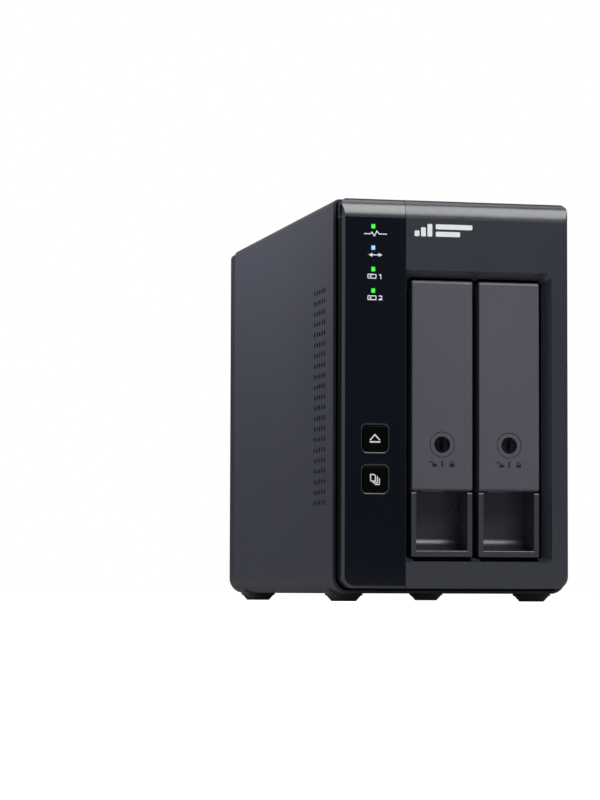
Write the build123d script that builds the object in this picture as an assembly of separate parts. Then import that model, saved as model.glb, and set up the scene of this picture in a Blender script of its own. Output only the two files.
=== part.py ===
from build123d import *
import math
import os

# A two-bay desktop drive enclosure, in millimetres.
# X runs left to right seen from the front, Y runs from the front to the rear,
# Z runs up from the surface it stands on. The origin is under the middle.
# A depth is a distance behind the front face.

# ------------------------------------------------------------ body and cover
body_width = 102.0
body_depth = 219.0
body_height = 168.5
foot_height = 3.3
cover_wall = 1.2
cover_low_radius = 7.0
cover_top_radius = 2.5
rear_frame_depth = 9.5
rear_frame_drop = 0.9
seam = 0.2

# --------------------------------------------------------------- front mouldings
front_proud = 9.3
front_gap = 0.6
front_bevel = 1.1
front_spigot = 6.9
front_top_radius = 3.0
crown_depth = 5.3
crown_height = 8.3
bezel_wall = 2.4
column_width = 27.2
panel_thickness = 1.4
column_wall = 1.8
notch_height = 4.6
notch_depth = 4.0
notch_sink = 1.0

# ------------------------------------------------------------------- the drives
drive_width = 26.1
drive_height = 101.6
drive_length = 147.0
drive_lid = 1.3
drive_board_wall = 1.2
drive_corner = 3.0
drive_chamber = 9.0
drive_rim = 6.0

# ------------------------------------------------------------------- the trays
tray_slack = 0.3
rail_height = 7.15
tray_base = 15.4
tray_gap = 2.85
tray_to_column = 3.25
lever_set_back = 2.0
frame_set_back = 2.6
lever_skin = 1.6
lever_flange = 1.6
lever_back = 7.9
lever_hinge_depth = 5.7
lever_hinge_drop = 4.1
lever_round = 1.4
pin_radius = 1.0
running_fit = 0.05
ear_radius = 1.8
ear_wall = 2.2
part_gap = 0.4
fascia_front = 8.4
fascia_wall = 2.1
fascia_back = 21.0
pocket_height = 27.1
pocket_wall = 2.05
pocket_floor = 2.7
pocket_back = 18.5
pocket_reach = 10.0
pocket_round = 6.0
pocket_lip_radius = 0.6
post_top_radius = 0.9
tongue_width = 9.5
tongue_drop = 0.5
tongue_depth = 4.6
tongue_wall = 1.6
hook_width = 6.0
hook_height = 3.0
hook_reach = 12.5
hook_above_frame = 42.3
drive_front_gap = 3.0
guide_width = 3.0
guide_height = 3.0
guide_gap = 0.8
slot_height = 3.0

# -------------------------------------------------------------------- the locks
lock_above_frame = 19.8
lock_ring_radius = 5.15
lock_ring_line = 0.25
lock_rim = 1.2
lock_rim_wall = 0.8
lock_core_radius = 3.45
lock_sink = 1.6
lock_back = 6.8
cam_length = 8.0
cam_width = 3.2
cam_wall = 1.0
keyway_width = 1.5
keyway_length = 4.6
keyway_depth = 2.4

# ------------------------------------------------------------------ the bay mouth
mouth_right_margin = 1.85
mouth_flare = 3.1
mouth_low = 16.4
mouth_top_flare = 3.6
mouth_flare_depth = 5.0
mouth_wall = 1.5
mouth_outer_radius = 2.5
mouth_inner_radius = 0.8
mouth_notch_trim = 0.45
mouth_notch_low = 1.6
mouth_notch_top = 0.85

# --------------------------------------------------------- buttons and indicators
button_width = 10.4
button_height = 10.5
button_radius = 1.6
button_offset = 0.5
button_gap = 0.3
button_edge = 0.8
button_sink = 0.35
button_travel = 1.0
button_low_z = 50.7
button_pitch = 17.0
button_rim = 1.2
stem_radius = 2.0
stem_end = 9.4
light_width = 1.7
light_height = 1.9
light_offset = -0.45
light_top_drop = 12.1
light_pitch = 9.0
light_end = 12.5
front_board_depth = 15.0
board_thickness = 1.6
switch_size = 6.0
switch_height = 3.5
switch_cap_radius = 1.7
switch_cap_height = 0.8

# ---------------------------------------------------------- the vents in the cover
vent_radius = 1.15
vent_columns = 5
vent_rows = 21
vent_pitch = 4.5
vent_first_depth = 24.2
vent_first_z = 41.6
slot_count = 9
slot_pitch = 6.0
slot_width = 2.4
slot_length = 26.0
slot_depth = 92.0

# --------------------------------------------------------- cage, floor and boards
sheet = 1.0
cage_front = 16.4
floor_wall = 1.2
floor_edge_gap = 0.2
board_gap = 3.6
board_front = 24.0
board_rear_gap = 9.0
board_low = 22.0
board_high = 142.0
post_radius = 2.5
post_inset = 9.0
backplane_gap = 4.0
socket_reach = 7.0
socket_width = 6.0
socket_length = 42.0
socket_low = 16.0
connector_clear = 0.5

# ------------------------------------------------------------------- rear panel
panel_recess = 2.6
panel_gap = 0.15
rear_sheet = 1.4
rear_wall = 2.8
rear_ledge = 1.7
rear_spigot = 6.0
fan_size = 70.0
fan_depth = 15.0
fan_bore_radius = 33.6
fan_screw_pitch = 60.0
fan_screw_radius = 1.9
fan_hub_radius = 14.5
fan_tip_gap = 1.0
fan_blades = 7
fan_above_floor = 46.0
fan_side_gap = 0.3
grille_ring = 1.8
grille_depth = 1.6
port_x_from_board = 4.6
port_gap = 0.2
usb_z = 60.0
usb_width = 3.2
usb_height = 9.0
usb_depth = 9.0
usb_radius = 1.2
jack_z = 34.0
jack_size = 10.0
jack_depth = 14.0
jack_bore = 3.2
jack_wall = 0.8
jack_pin = 1.0
mode_z = 80.0
mode_width = 6.0
mode_height = 10.0
mode_depth = 7.0
slider_size = 1.8
slider_pitch = 4.2
slider_travel = 1.6
slider_gap = 0.3
power_z = 104.0
power_radius = 4.4
power_gap = 0.3
power_travel = 1.2
lock_slot_z = 128.0
lock_slot_width = 7.0
lock_slot_height = 3.2

# -------------------------------------------------------------------------- feet
foot_in = 9.5
foot_front_depth = 28.0
foot_rear_depth = 21.5
foot_low_radius = 5.2
foot_top_radius = 7.4
foot_rim = 0.9
foot_rim_radius = 8.0
foot_hole_radius = 2.2
foot_hole_depth = 1.4

# ------------------------------------------------------------- derived positions
front_y = -body_depth / 2
floor_z = foot_height
left_x = -body_width / 2
right_x = body_width / 2
inner_left = left_x + cover_wall
inner_right = right_x - cover_wall
inner_floor = floor_z + cover_wall
inner_top = body_height - cover_wall
front_inset = cover_wall + front_gap
face_left = left_x + front_inset
face_right = right_x - front_inset
face_low = floor_z + front_inset + 0.3
face_radius = cover_low_radius - front_inset
front_end = front_proud + front_spigot
seam_x = face_left + column_width
crown_z = body_height - crown_height
column_x = (face_left + seam_x) / 2
button_x = column_x + button_offset
light_x = column_x + light_offset

tray_width = drive_width + tray_slack
tray_pitch = tray_width + tray_gap
tray_height = drive_height + 2 * rail_height
tray_low = floor_z + tray_base
tray_top = tray_low + tray_height
tray_x = [seam_x + tray_to_column + tray_width / 2 + i * tray_pitch for i in range(2)]
tray_half = tray_width / 2
frame_top = tray_low + pocket_height
lever_low = frame_top + 0.6
hinge_z = tray_top - lever_hinge_drop
lock_z = frame_top + lock_above_frame
drive_low = tray_low + rail_height
drive_top = drive_low + drive_height
drive_front = fascia_back + drive_front_gap
drive_rear = drive_front + drive_length
rail_end = drive_rear - 3.0

mouth_left = seam_x + seam / 2 + mouth_wall
mouth_right = tray_x[1] + tray_half + mouth_right_margin
bay_floor = tray_low - part_gap
bay_top = tray_top + part_gap
mouth_top = bay_top + mouth_top_flare
notch_low = bay_floor - mouth_notch_low
notch_top = bay_top + mouth_notch_top

backplane_depth = drive_rear + backplane_gap
board_x = inner_left + board_gap
board_face = board_x + board_thickness
board_rear = body_depth - board_rear_gap
cage_left = mouth_left - 0.2 - sheet
cage_right = mouth_right + sheet
panel_face = body_depth - panel_recess
panel_inner = panel_face - rear_sheet
fan_back = panel_inner - 0.2
fan_front = fan_back - fan_depth
fan_x = right_x - rear_wall - rear_ledge - fan_side_gap - fan_size / 2
fan_z = inner_floor + fan_above_floor + fan_size / 2
port_x = board_face + port_x_from_board
feet_x = right_x - foot_in


# ----------------------------------------------------------------- basic shapes
def block(x0, x1, d0, d1, z0, z1):
    """Box between two X, two depths and two Z."""
    middle = Pos((x0 + x1) / 2, front_y + (d0 + d1) / 2, (z0 + z1) / 2)
    return middle * Box(x1 - x0, d1 - d0, z1 - z0)


def rod_x(x0, x1, depth, z, radius):
    """Cylinder along X."""
    return Pos((x0 + x1) / 2, front_y + depth, z) * Rot(0, 90, 0) * Cylinder(radius, x1 - x0)


def rod_y(x, d0, d1, z, radius):
    """Cylinder along Y."""
    return Pos(x, front_y + (d0 + d1) / 2, z) * Rot(90, 0, 0) * Cylinder(radius, d1 - d0)


def rod_z(x, depth, z0, z1, radius):
    """Cylinder along Z."""
    return Pos(x, front_y + depth, (z0 + z1) / 2) * Cylinder(radius, z1 - z0)


def soft_block(x0, x1, d0, d1, z0, z1, low, high):
    """Box with its long lower and upper edges rounded, seen from the front."""
    body = block(x0, x1, d0, d1, z0, z1)
    body = fillet(body.edges().filter_by(Axis.Y).sort_by(Axis.Z)[:2], low)
    return fillet(body.edges().filter_by(Axis.Y).sort_by(Axis.Z)[-2:], high)


def round_block(x, z, width, height, d0, d1, radius):
    """Rounded rectangle seen from the front, between two depths."""
    body = block(x - width / 2, x + width / 2, d0, d1, z - height / 2, z + height / 2)
    return fillet(body.edges().filter_by(Axis.Y), radius)


def join(pieces):
    """Union of a list of solids."""
    whole = pieces[0]
    for piece in pieces[1:]:
        whole = whole + piece
    return whole


# ----------------------------------------------------------------- outer cover
def cover_form(inset, d0, d1, drop=0.0):
    """Filled outline of the wrap, drawn in by an inset."""
    low = cover_low_radius - inset
    high = max(cover_top_radius - inset, 0.5)
    x = body_width / 2 - inset
    return soft_block(-x, x, d0, d1, floor_z + inset, body_height - inset - drop, low, high)


def vent_rods():
    """Rods that pierce both cheeks of the cover."""
    rods = []
    for row in range(vent_rows):
        for column in range(vent_columns):
            depth = vent_first_depth + column * vent_pitch
            z = vent_first_z + row * vent_pitch
            rods.append(rod_x(left_x - 1, right_x + 1, depth, z, vent_radius))
    return rods


def floor_slots():
    """Slots that pierce the underside."""
    slots = []
    for i in range(slot_count):
        x = (i - (slot_count - 1) / 2) * slot_pitch
        x0 = x - slot_width / 2
        x1 = x + slot_width / 2
        z1 = inner_floor + floor_wall + 1
        body = block(x0, x1, slot_depth, slot_depth + slot_length, floor_z - 1, z1)
        slots.append(fillet(body.edges().filter_by(Axis.Z), slot_width / 2 - 0.05))
    return slots


def outer_cover():
    d1 = body_depth - rear_frame_depth
    wrap = cover_form(0, front_proud, d1) - cover_form(cover_wall, front_proud - 1, d1 + 1)
    return wrap - vent_rods() - floor_slots()


# -------------------------------------------------------------- front mouldings
def crown_profile(depth):
    """Side outline of the front, with its rounded crown, as wide as the body."""
    y0 = front_y
    y1 = front_y + depth
    curve_end = (y0 + crown_depth, body_height)
    curve = EllipticalCenterArc((y0 + crown_depth, crown_z), crown_depth, crown_height, 90, arc_size=90)
    edges = [
        curve,
        Line((y0, crown_z), (y0, 0)),
        Line((y0, 0), (y1, 0)),
        Line((y1, 0), (y1, body_height)),
        Line((y1, body_height), curve_end),
    ]
    return extrude(Plane.YZ * make_face(edges), amount=body_width, both=True)


def front_form():
    """The whole front as one filled form, with a bevel round its face."""
    form = soft_block(
        face_left, face_right, 0, front_end, face_low, body_height, face_radius, front_top_radius
    )
    form = chamfer(form.faces().sort_by(Axis.Y)[0].edges(), front_bevel)
    form = form & crown_profile(front_end)
    step = block(left_x, right_x, front_proud - 0.1, front_end + 1, inner_top - part_gap, body_height + 1)
    return form - step


def bay_mouth():
    """The flared opening that both trays pass through."""
    x0 = seam_x - mouth_flare
    x1 = mouth_right + mouth_flare
    centre = ((x0 + x1) / 2, front_y - 0.001, (mouth_low + mouth_top) / 2)
    outer = Plane(origin=centre, x_dir=(1, 0, 0), z_dir=(0, 1, 0))
    wide = outer * RectangleRounded(x1 - x0, mouth_top - mouth_low, mouth_outer_radius)
    centre = ((mouth_left + mouth_right) / 2, front_y + mouth_flare_depth, (bay_floor + bay_top) / 2)
    inner = Plane(origin=centre, x_dir=(1, 0, 0), z_dir=(0, 1, 0))
    narrow = inner * RectangleRounded(mouth_right - mouth_left, bay_top - bay_floor, mouth_inner_radius)
    flare = loft([wide, narrow], ruled=True)
    tunnel = block(mouth_left, mouth_right, mouth_flare_depth - 0.001, front_end + 1, bay_floor, bay_top)
    mouth = flare + tunnel
    middle = (bay_floor + bay_top) / 2
    for x in tray_x:
        half = tray_half - mouth_notch_trim
        mouth = mouth + block(x - half, x + half, 0.4, front_end + 1, notch_low, middle)
        half = tray_half + part_gap
        mouth = mouth + block(x - half, x + half, 0.4, front_end + 1, middle, notch_top)
    return mouth


def front_bezel():
    x0 = seam_x + seam / 2
    shell = front_form() & block(x0, right_x, -1, front_end + 1, 0, body_height + 1)
    hollow = block(
        x0 + mouth_wall,
        face_right - bezel_wall,
        bezel_wall,
        front_end + 1,
        face_low + bezel_wall,
        inner_top - part_gap - bezel_wall,
    )
    hollow = fillet(hollow.edges().filter_by(Axis.Y), 2.0)
    shell = shell - hollow
    collar_depth = mouth_flare_depth + mouth_wall
    collar = block(
        x0, mouth_right + mouth_flare + 1.2, 1.2, collar_depth, notch_low - mouth_wall, mouth_top + 1.2
    )
    sleeve = block(
        x0, mouth_right + mouth_wall, 1.2, front_end, notch_low - mouth_wall, notch_top + mouth_wall
    )
    return shell + collar + sleeve - bay_mouth()


def column_form():
    """The left part of the front, as wide as the control column."""
    return front_form() & block(left_x, seam_x - seam / 2, -1, front_end + 1, 0, body_height + 1)


def column_hollow():
    body = block(
        face_left + column_wall,
        seam_x - seam / 2 - column_wall,
        panel_thickness + column_wall,
        front_end + 1,
        face_low + column_wall,
        inner_top - part_gap - bezel_wall,
    )
    return fillet(body.edges().filter_by(Axis.Y), 2.0)


def button_holes(d0, d1):
    width = button_width + 2 * button_gap
    height = button_height + 2 * button_gap
    radius = button_radius + button_gap
    return [round_block(button_x, z, width, height, d0, d1, radius) for z in button_z()]


def button_z():
    return [button_low_z, button_low_z + button_pitch]


def light_z():
    return [body_height - light_top_drop - i * light_pitch for i in range(4)]


def light_holes(d0, d1):
    w = light_width / 2
    h = light_height / 2
    return [block(light_x - w, light_x + w, d0, d1, z - h, z + h) for z in light_z()]


def control_column():
    body = column_form()
    body = body - block(left_x, seam_x, -1, panel_thickness, 0, crown_z)
    body = body - block(left_x, seam_x, -1, front_end + 1, crown_z, body_height + 1)
    body = body - column_hollow()
    return body - button_holes(-1, front_end) - light_holes(-1, front_end)


def control_panel():
    plate = column_form() & block(left_x, seam_x, -1, panel_thickness, 0, crown_z)
    plate = plate - button_holes(-1, front_end)
    plate = fillet(plate.faces().sort_by(Axis.Y)[0].inner_wires().edges(), button_edge)
    return plate - light_holes(-1, front_end)


def column_cap():
    cap = column_form() & block(left_x, seam_x, -1, front_end + 1, crown_z, body_height + 1)
    cap = cap - column_hollow()
    z0 = crown_z + 0.5
    return cap - block(left_x, face_left + notch_sink, 1.2, 1.2 + notch_depth, z0, z0 + notch_height)


def light_pipe(index):
    """Clear pipe from the board's lamp to the face."""
    z = light_z()[index]
    w = light_width / 2
    h = light_height / 2
    pipe = block(light_x - w, light_x + w, 0, light_end, z - h, z + h)
    d0 = panel_thickness + column_wall
    return pipe + block(light_x - w - 0.8, light_x + w + 0.8, d0, d0 + 1.0, z - h - 0.8, z + h + 0.8)


def push_key(z):
    """Square key with a rim behind the column's wall and a stem to its switch."""
    key = round_block(button_x, z, button_width, button_height, button_sink, 5.2, button_radius)
    key = fillet(key.faces().sort_by(Axis.Y)[0].edges(), 0.4)
    wide = button_width + 2 * button_rim + 2 * button_gap
    tall = button_height + 2 * button_rim + 2 * button_gap
    rim = round_block(button_x, z, wide, tall, 4.2, 5.2, button_radius)
    return key + rim + rod_y(button_x, 5.2, stem_end, z, stem_radius)


def front_board():
    """Narrow board behind the column, with a lamp behind each pipe."""
    x0 = face_left + column_wall + 0.4
    x1 = seam_x - seam / 2 - column_wall - 0.4
    z1 = inner_top - part_gap - bezel_wall - 3.5
    board = block(x0, x1, front_board_depth, front_board_depth + board_thickness, board_low, z1)
    half = light_height / 2 + 0.2
    d0 = light_end + 0.4
    for z in light_z():
        board = board + block(light_x - half, light_x + half, d0, front_board_depth, z - half, z + half)
    plug_z = (board_low + button_low_z) / 2 - 2
    d0 = front_board_depth + board_thickness
    return board + block(x0, x0 + 8, d0, board_front, plug_z - 9, plug_z + 9)


def front_switches():
    """Push switches under the two keys."""
    pieces = []
    half = switch_size / 2
    for z in button_z():
        d0 = front_board_depth - switch_height
        body = block(button_x - half, button_x + half, d0, front_board_depth, z - half, z + half)
        body = chamfer(body.edges().filter_by(Axis.Y), 0.6)
        pieces.append(body + rod_y(button_x, d0 - switch_cap_height, d0, z, switch_cap_radius))
    return Compound(pieces)


# ----------------------------------------------------------------------- trays
def hinge_clearance(x):
    """Room cut in a tray's front for the heel of its lever."""
    side = tray_half - lever_flange - 0.4
    d1 = lever_hinge_depth + math.hypot(lever_back - lever_hinge_depth, lever_hinge_drop) + 0.6
    z0 = hinge_z - 3.0
    left = block(x - tray_half - 1, x - side, fascia_front - 5, d1, z0, tray_top + 1)
    right = block(x + side, x + tray_half + 1, fascia_front - 5, d1, z0, tray_top + 1)
    heel = block(x - side, x + side, fascia_front - 5, d1, hinge_z + 0.8, tray_top + 1)
    return [left, right, heel]


def tray_fascia(x):
    """Front of a tray: finger pocket below, hinge ears at the top."""
    low = block(x - tray_half, x + tray_half, frame_set_back, fascia_back, tray_low, frame_top)
    low = fillet(low.edges().filter_by(Axis.Y).sort_by(Axis.Z)[:2], 0.3)
    low = fillet(low.faces().sort_by(Axis.Y)[0].edges().sort_by(Axis.Z)[-1], post_top_radius)
    high = block(x - tray_half, x + tray_half, fascia_front, fascia_back, frame_top, tray_top)
    body = low + high
    reach = frame_top + pocket_reach
    half = tray_half - pocket_wall
    pocket = block(x - half, x + half, frame_set_back - 1, pocket_back, tray_low + pocket_floor, reach)
    rear_low = pocket.faces().sort_by(Axis.Y)[-1].edges().sort_by(Axis.Z)[0]
    pocket = fillet(rear_low, pocket_round)
    body = body - pocket
    lip = Vector(x, front_y + frame_set_back, tray_low + pocket_floor)
    body = fillet(body.edges().sort_by_distance(lip)[0], pocket_lip_radius)
    wall_back = fascia_front + 0.6 + fascia_wall
    hollow = block(
        x - tray_half + 1.6, x + tray_half - 1.6, wall_back, fascia_back + 1, reach + 2.0, tray_top - 5.5
    )
    relief = block(x - half, x + half, fascia_front - 1, fascia_front + 0.6, reach - 1, hinge_z - 6)
    body = body - hollow - relief - hinge_clearance(x)
    hook_z = frame_top + hook_above_frame
    slot = block(
        x - hook_width / 2 - 0.8,
        x + hook_width / 2 + 0.8,
        0,
        fascia_back + 1,
        hook_z - hook_height / 2 - 1.5,
        hook_z + hook_height / 2 + 1.5,
    )
    body = body - slot
    for i in range(4):
        z = hook_z + 8.0 + i * 7.0
        air = round_block(x, z, tray_width - 9.0, slot_height, 0, fascia_back + 1, slot_height / 2 - 0.05)
        body = body - air
    for side in (-1, 1):
        x0 = x + side * (tray_half - lever_flange - part_gap)
        x1 = x0 - side * ear_wall
        ear = rod_x(min(x0, x1), max(x0, x1), lever_hinge_depth, hinge_z, ear_radius)
        d1 = wall_back + 2.0
        web = block(min(x0, x1), max(x0, x1), lever_hinge_depth, d1, hinge_z - ear_radius, hinge_z + 0.5)
        body = body + ear + web
    return body - rod_x(x - tray_half, x + tray_half, lever_hinge_depth, hinge_z, pin_radius)


def tray_rail(x, upper):
    """Rail along one edge of a drive, grooved to run on the cage's guide."""
    z0 = drive_top if upper else tray_low + 0.3
    z1 = tray_top - 0.3 if upper else drive_low
    half = tray_half - 0.4
    rail = block(x - half, x + half, fascia_back, rail_end, z0, z1)
    groove = guide_width / 2 + guide_gap
    edge = tray_top if upper else tray_low
    lower = edge - guide_height - guide_gap if upper else edge - 1
    higher = edge + 1 if upper else edge + guide_height + guide_gap
    rail = rail - block(x - groove, x + groove, fascia_back - 1, rail_end + 1, lower, higher)
    for side in (-1, 1):
        x0 = x + side * (groove + 1.6)
        x1 = x + side * (half - 1.6)
        lower = edge - guide_height - guide_gap if upper else edge - 1
        for start in (0.08, 0.56):
            d0 = fascia_back + start * (rail_end - fascia_back)
            d1 = d0 + 0.36 * (rail_end - fascia_back)
            rail = rail - block(min(x0, x1), max(x0, x1), d0, d1, lower, higher)
    return rail


def drive_base(x):
    """Cast body of a drive, with a notch for the socket behind it."""
    x0 = x - drive_width / 2 + drive_lid
    x1 = x + drive_width / 2 - drive_board_wall
    body = block(x0, x1, drive_front, drive_rear, drive_low, drive_top)
    body = fillet(body.edges().filter_by(Axis.X), drive_corner)
    body = body - block(
        x0 - 1,
        x0 + drive_chamber,
        drive_front + drive_rim,
        drive_rear - drive_rim - 4,
        drive_low + drive_rim,
        drive_top - drive_rim,
    )
    z0 = drive_low + socket_low - connector_clear
    z1 = z0 + socket_length + 2 * connector_clear
    x_notch = x1 - socket_width - 2 * connector_clear
    depth = drive_rear - (socket_reach - backplane_gap) - connector_clear
    return body - block(x_notch, x1 + 1, depth, drive_rear + 1, z0, z1)


def drive_cover(x):
    """Steel lid of a drive, with a raised disc over the platters."""
    x0 = x - drive_width / 2
    x1 = x0 + drive_lid
    step = drive_lid / 2
    plate = block(x0 + step, x1, drive_front + 1, drive_rear - 1, drive_low + 1, drive_top - 1)
    plate = fillet(plate.edges().filter_by(Axis.X), drive_corner)
    z = (drive_low + drive_top) / 2
    disc = rod_x(x0, x0 + step, drive_front + drive_height / 2 + 2, z, drive_height / 2 - 5)
    arm = block(x0, x0 + step, drive_rear - 46, drive_rear - 7, drive_low + 18, drive_top - 12)
    arm = fillet(arm.edges().filter_by(Axis.X), 6.0)
    return plate + disc + arm


def drive_board(x):
    """Circuit board on the underside of a drive."""
    x1 = x + drive_width / 2
    x0 = x1 - drive_board_wall
    z0 = drive_low + 8
    board = block(x0, x0 + 0.7, drive_rear - 92, drive_rear - 4, z0, drive_top - 8)
    board = board + block(x0 + 0.7, x1 - 0.1, drive_rear - 60, drive_rear - 46, z0 + 30, z0 + 44)
    return board + block(x0 + 0.7, x1 - 0.1, drive_rear - 34, drive_rear - 25, z0 + 50, z0 + 64)


def lever(x):
    """Pull-out face of a tray, hinged at the top."""
    body = block(x - tray_half, x + tray_half, lever_set_back, lever_back, lever_low, tray_top)
    body = fillet(body.edges().filter_by(Axis.X).sort_by(Axis.Y)[:2], lever_round)
    body = fillet(body.edges().filter_by(Axis.Z).sort_by(Axis.Y)[:2], 0.5)
    half = tray_half - lever_flange
    d0 = lever_set_back + lever_skin
    z1 = hinge_z + ear_radius + 0.2
    body = body - block(x - half, x + half, d0, lever_back + 1, lever_low + lever_skin, z1)
    body = body - block(x - half, x + half, d0 + 1.4, lever_back + 1, hinge_z - 4.5, tray_top + 1)
    x0 = x - tray_half - 1
    x1 = x + tray_half + 1
    body = body - rod_x(x0, x1, lever_hinge_depth, hinge_z, pin_radius + running_fit)
    body = body - rod_y(x, 0, lever_back, lock_z, lock_ring_radius + lock_ring_line)
    hook_z = frame_top + hook_above_frame
    hook = block(
        x - hook_width / 2,
        x + hook_width / 2,
        d0,
        hook_reach,
        hook_z - hook_height / 2,
        hook_z + hook_height / 2,
    )
    hook = chamfer(hook.faces().sort_by(Axis.Y)[-1].edges().filter_by(Axis.X), 0.8)
    x0 = x - tray_half + 4.6
    d0 = tongue_depth
    z0 = lever_low - tongue_drop
    tongue = block(x0, x0 + tongue_width, d0, d0 + tongue_wall, z0, lever_low + 0.1)
    return body + hook + tongue


def lever_pin(x):
    return rod_x(x - tray_half + 0.2, x + tray_half - 0.2, lever_hinge_depth, hinge_z, pin_radius)


def lock_ring(x):
    """Fixed ring round a lock, held from behind the lever's skin."""
    d1 = lever_set_back + lever_skin
    ring = rod_y(x, lever_set_back + 0.05, d1 + lock_rim_wall, lock_z, lock_ring_radius)
    rim = rod_y(x, d1, d1 + lock_rim_wall, lock_z, lock_ring_radius + lock_ring_line + lock_rim)
    return ring + rim - rod_y(x, 0, lever_back, lock_z, lock_core_radius + running_fit)


def lock_core(x):
    """Turning core of a lock, with a keyway in front and a cam behind."""
    d0 = lever_set_back + lock_sink
    core = rod_y(x, d0, lock_back, lock_z, lock_core_radius)
    core = core - block(
        x - keyway_width / 2,
        x + keyway_width / 2,
        d0 - 1,
        d0 + keyway_depth,
        lock_z - keyway_length / 2,
        lock_z + keyway_length / 2,
    )
    core = core - rod_y(x, d0 - 1, d0 + keyway_depth, lock_z, keyway_width * 0.75)
    z = lock_z + cam_length / 2 - cam_width / 4
    arm = round_block(x, z, cam_width, cam_length, lock_back - cam_wall, lock_back, 1.2)
    return core + arm


# ------------------------------------------------------------- cage and floor
def drive_cage():
    """Folded sheet round both bays, with guides and board posts."""
    d1 = backplane_depth
    z0 = bay_floor - sheet
    z1 = bay_top + sheet
    cage = block(cage_left, cage_right, cage_front, d1, z0, z1)
    cage = fillet(cage.edges().filter_by(Axis.Y), 1.5)
    cage = cage - block(cage_left + sheet, cage_right - sheet, cage_front - 1, d1 + 1, bay_floor, bay_top)
    window = (d1 - cage_front - 4 * 12.0) / 3
    for i in range(3):
        d0 = cage_front + 12.0 + i * (window + 12.0)
        hole = block(cage_left - 1, cage_right + 1, d0, d0 + window, bay_floor + 16, bay_top - 16)
        cage = cage - fillet(hole.edges().filter_by(Axis.X), 4.0)
    for x in tray_x:
        half = guide_width / 2
        cage = cage + block(x - half, x + half, fascia_back + 2, d1, bay_floor, bay_floor + guide_height)
        cage = cage + block(x - half, x + half, fascia_back + 2, d1, bay_top - guide_height, bay_top)
    return cage


def board_posts():
    """Posts that hold the main board off the cage."""
    posts = []
    for depth in (board_front + post_inset, backplane_depth - post_inset):
        for z in (board_low + post_inset, bay_top - post_inset):
            posts.append(rod_x(board_face, cage_left, depth, z, post_radius))
    return Compound(posts)


def chassis_floor():
    """Sheet floor inside the cover, with two webs that carry the cage."""
    d0 = front_end + 0.6
    d1 = body_depth - rear_frame_depth - rear_spigot - 0.6
    half = body_width / 2 - cover_low_radius - floor_edge_gap
    z1 = inner_floor + floor_wall
    floor = block(-half, half, d0, d1, inner_floor, z1)
    for x in (cage_left + 8.0, cage_right - 8.0 - floor_wall):
        web = block(x, x + floor_wall, d0 + 8, backplane_depth - 2, z1, bay_floor - sheet)
        floor = floor + web
    return floor - floor_slots()


def main_board():
    """Upright board beside the bays."""
    board = block(board_x, board_face, board_front, board_rear, board_low, board_high)
    tall = board_face + 7.5
    coil = block(board_face, tall, board_rear - 31, board_rear - 19, jack_z - 7, jack_z + 7)
    coil = chamfer(coil.edges().filter_by(Axis.X), 1.5)
    d0 = board_front + 6
    plug = block(board_face, board_face + 6, d0, d0 + 5, 60, 84)
    chip = block(board_face, board_face + 1.4, board_rear - 60, board_rear - 50, mode_z + 6, mode_z + 16)
    return board + coil + plug + chip


def bridge_chip():
    z = (board_low + board_high) / 2
    d0 = board_rear - 110
    return block(board_face, board_face + 1.6, d0, d0 + 22, z - 11, z + 11)


def heat_sink():
    """Finned block on the bridge chip."""
    z = (board_low + board_high) / 2
    d0 = board_rear - 110 - 4
    d1 = d0 + 30
    x0 = board_face + 1.6
    sink = block(x0, x0 + 2.2, d0, d1, z - 15, z + 15)
    for i in range(8):
        z0 = z - 15 + i * (30 - 1.2) / 7
        sink = sink + block(x0 + 2.2, x0 + 12, d0, d1, z0, z0 + 1.2)
    return sink


def board_capacitors():
    cans = []
    for i in range(4):
        z = jack_z - 8 + (i % 2) * 9.5
        depth = board_rear - 62 - (i // 2) * 10
        cans.append(rod_x(board_face, board_face + 12, depth, z, 4.0))
    return Compound(cans)


def backplane():
    """Board across the rear of the bays, with air windows."""
    d0 = backplane_depth
    z0 = bay_floor + 2
    z1 = bay_top - 2
    board = block(board_face + 0.4, cage_right, d0, d0 + board_thickness, z0, z1)
    for x in tray_x:
        for z, tall in ((drive_top - 18, 26), (drive_low + 8, 10)):
            hole = block(
                x - tray_half + 3, x + tray_half - 3, d0 - 1, d0 + 3, z - tall / 2, z + tall / 2
            )
            board = board - fillet(hole.edges().filter_by(Axis.Y), 2.0)
    return board


def drive_socket(x):
    """Socket that plugs into a drive."""
    x1 = x + drive_width / 2 - drive_board_wall - connector_clear
    x0 = x1 - socket_width
    z0 = drive_low + socket_low
    d0 = backplane_depth - socket_reach
    body = block(x0, x1, d0 + 3, backplane_depth, z0, z0 + socket_length)
    body = body + block(x0 + 1.5, x1 - 1.5, d0, d0 + 3, z0 + 1.5, z0 + 15)
    return body + block(x0 + 1.5, x1 - 1.5, d0, d0 + 3, z0 + 18, z0 + socket_length - 1.5)


# ------------------------------------------------------------------------- rear
def rear_frame():
    """Rear moulding that closes the cover and holds the rear panel."""
    d0 = body_depth - rear_frame_depth + seam
    ring = cover_form(0, d0, body_depth, rear_frame_drop)
    ring = ring + cover_form(cover_wall + 0.2, d0 - rear_spigot - seam, d0)
    ring = ring - cover_form(rear_wall + rear_ledge, d0 - 20, body_depth + 1, rear_frame_drop)
    ring = ring - cover_form(rear_wall, panel_inner, body_depth + 1, rear_frame_drop)
    z0 = board_low - 1
    z1 = board_high + 1
    return ring - block(board_x - 1, board_face + 1, d0 - 20, board_rear + 0.4, z0, z1)


def fan_corners():
    half = fan_screw_pitch / 2
    return [(fan_x + i * half, fan_z + j * half) for i in (-1, 1) for j in (-1, 1)]


def power_hole(d0, d1):
    return rod_y(port_x + 2, d0, d1, power_z, power_radius + power_gap)


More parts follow.
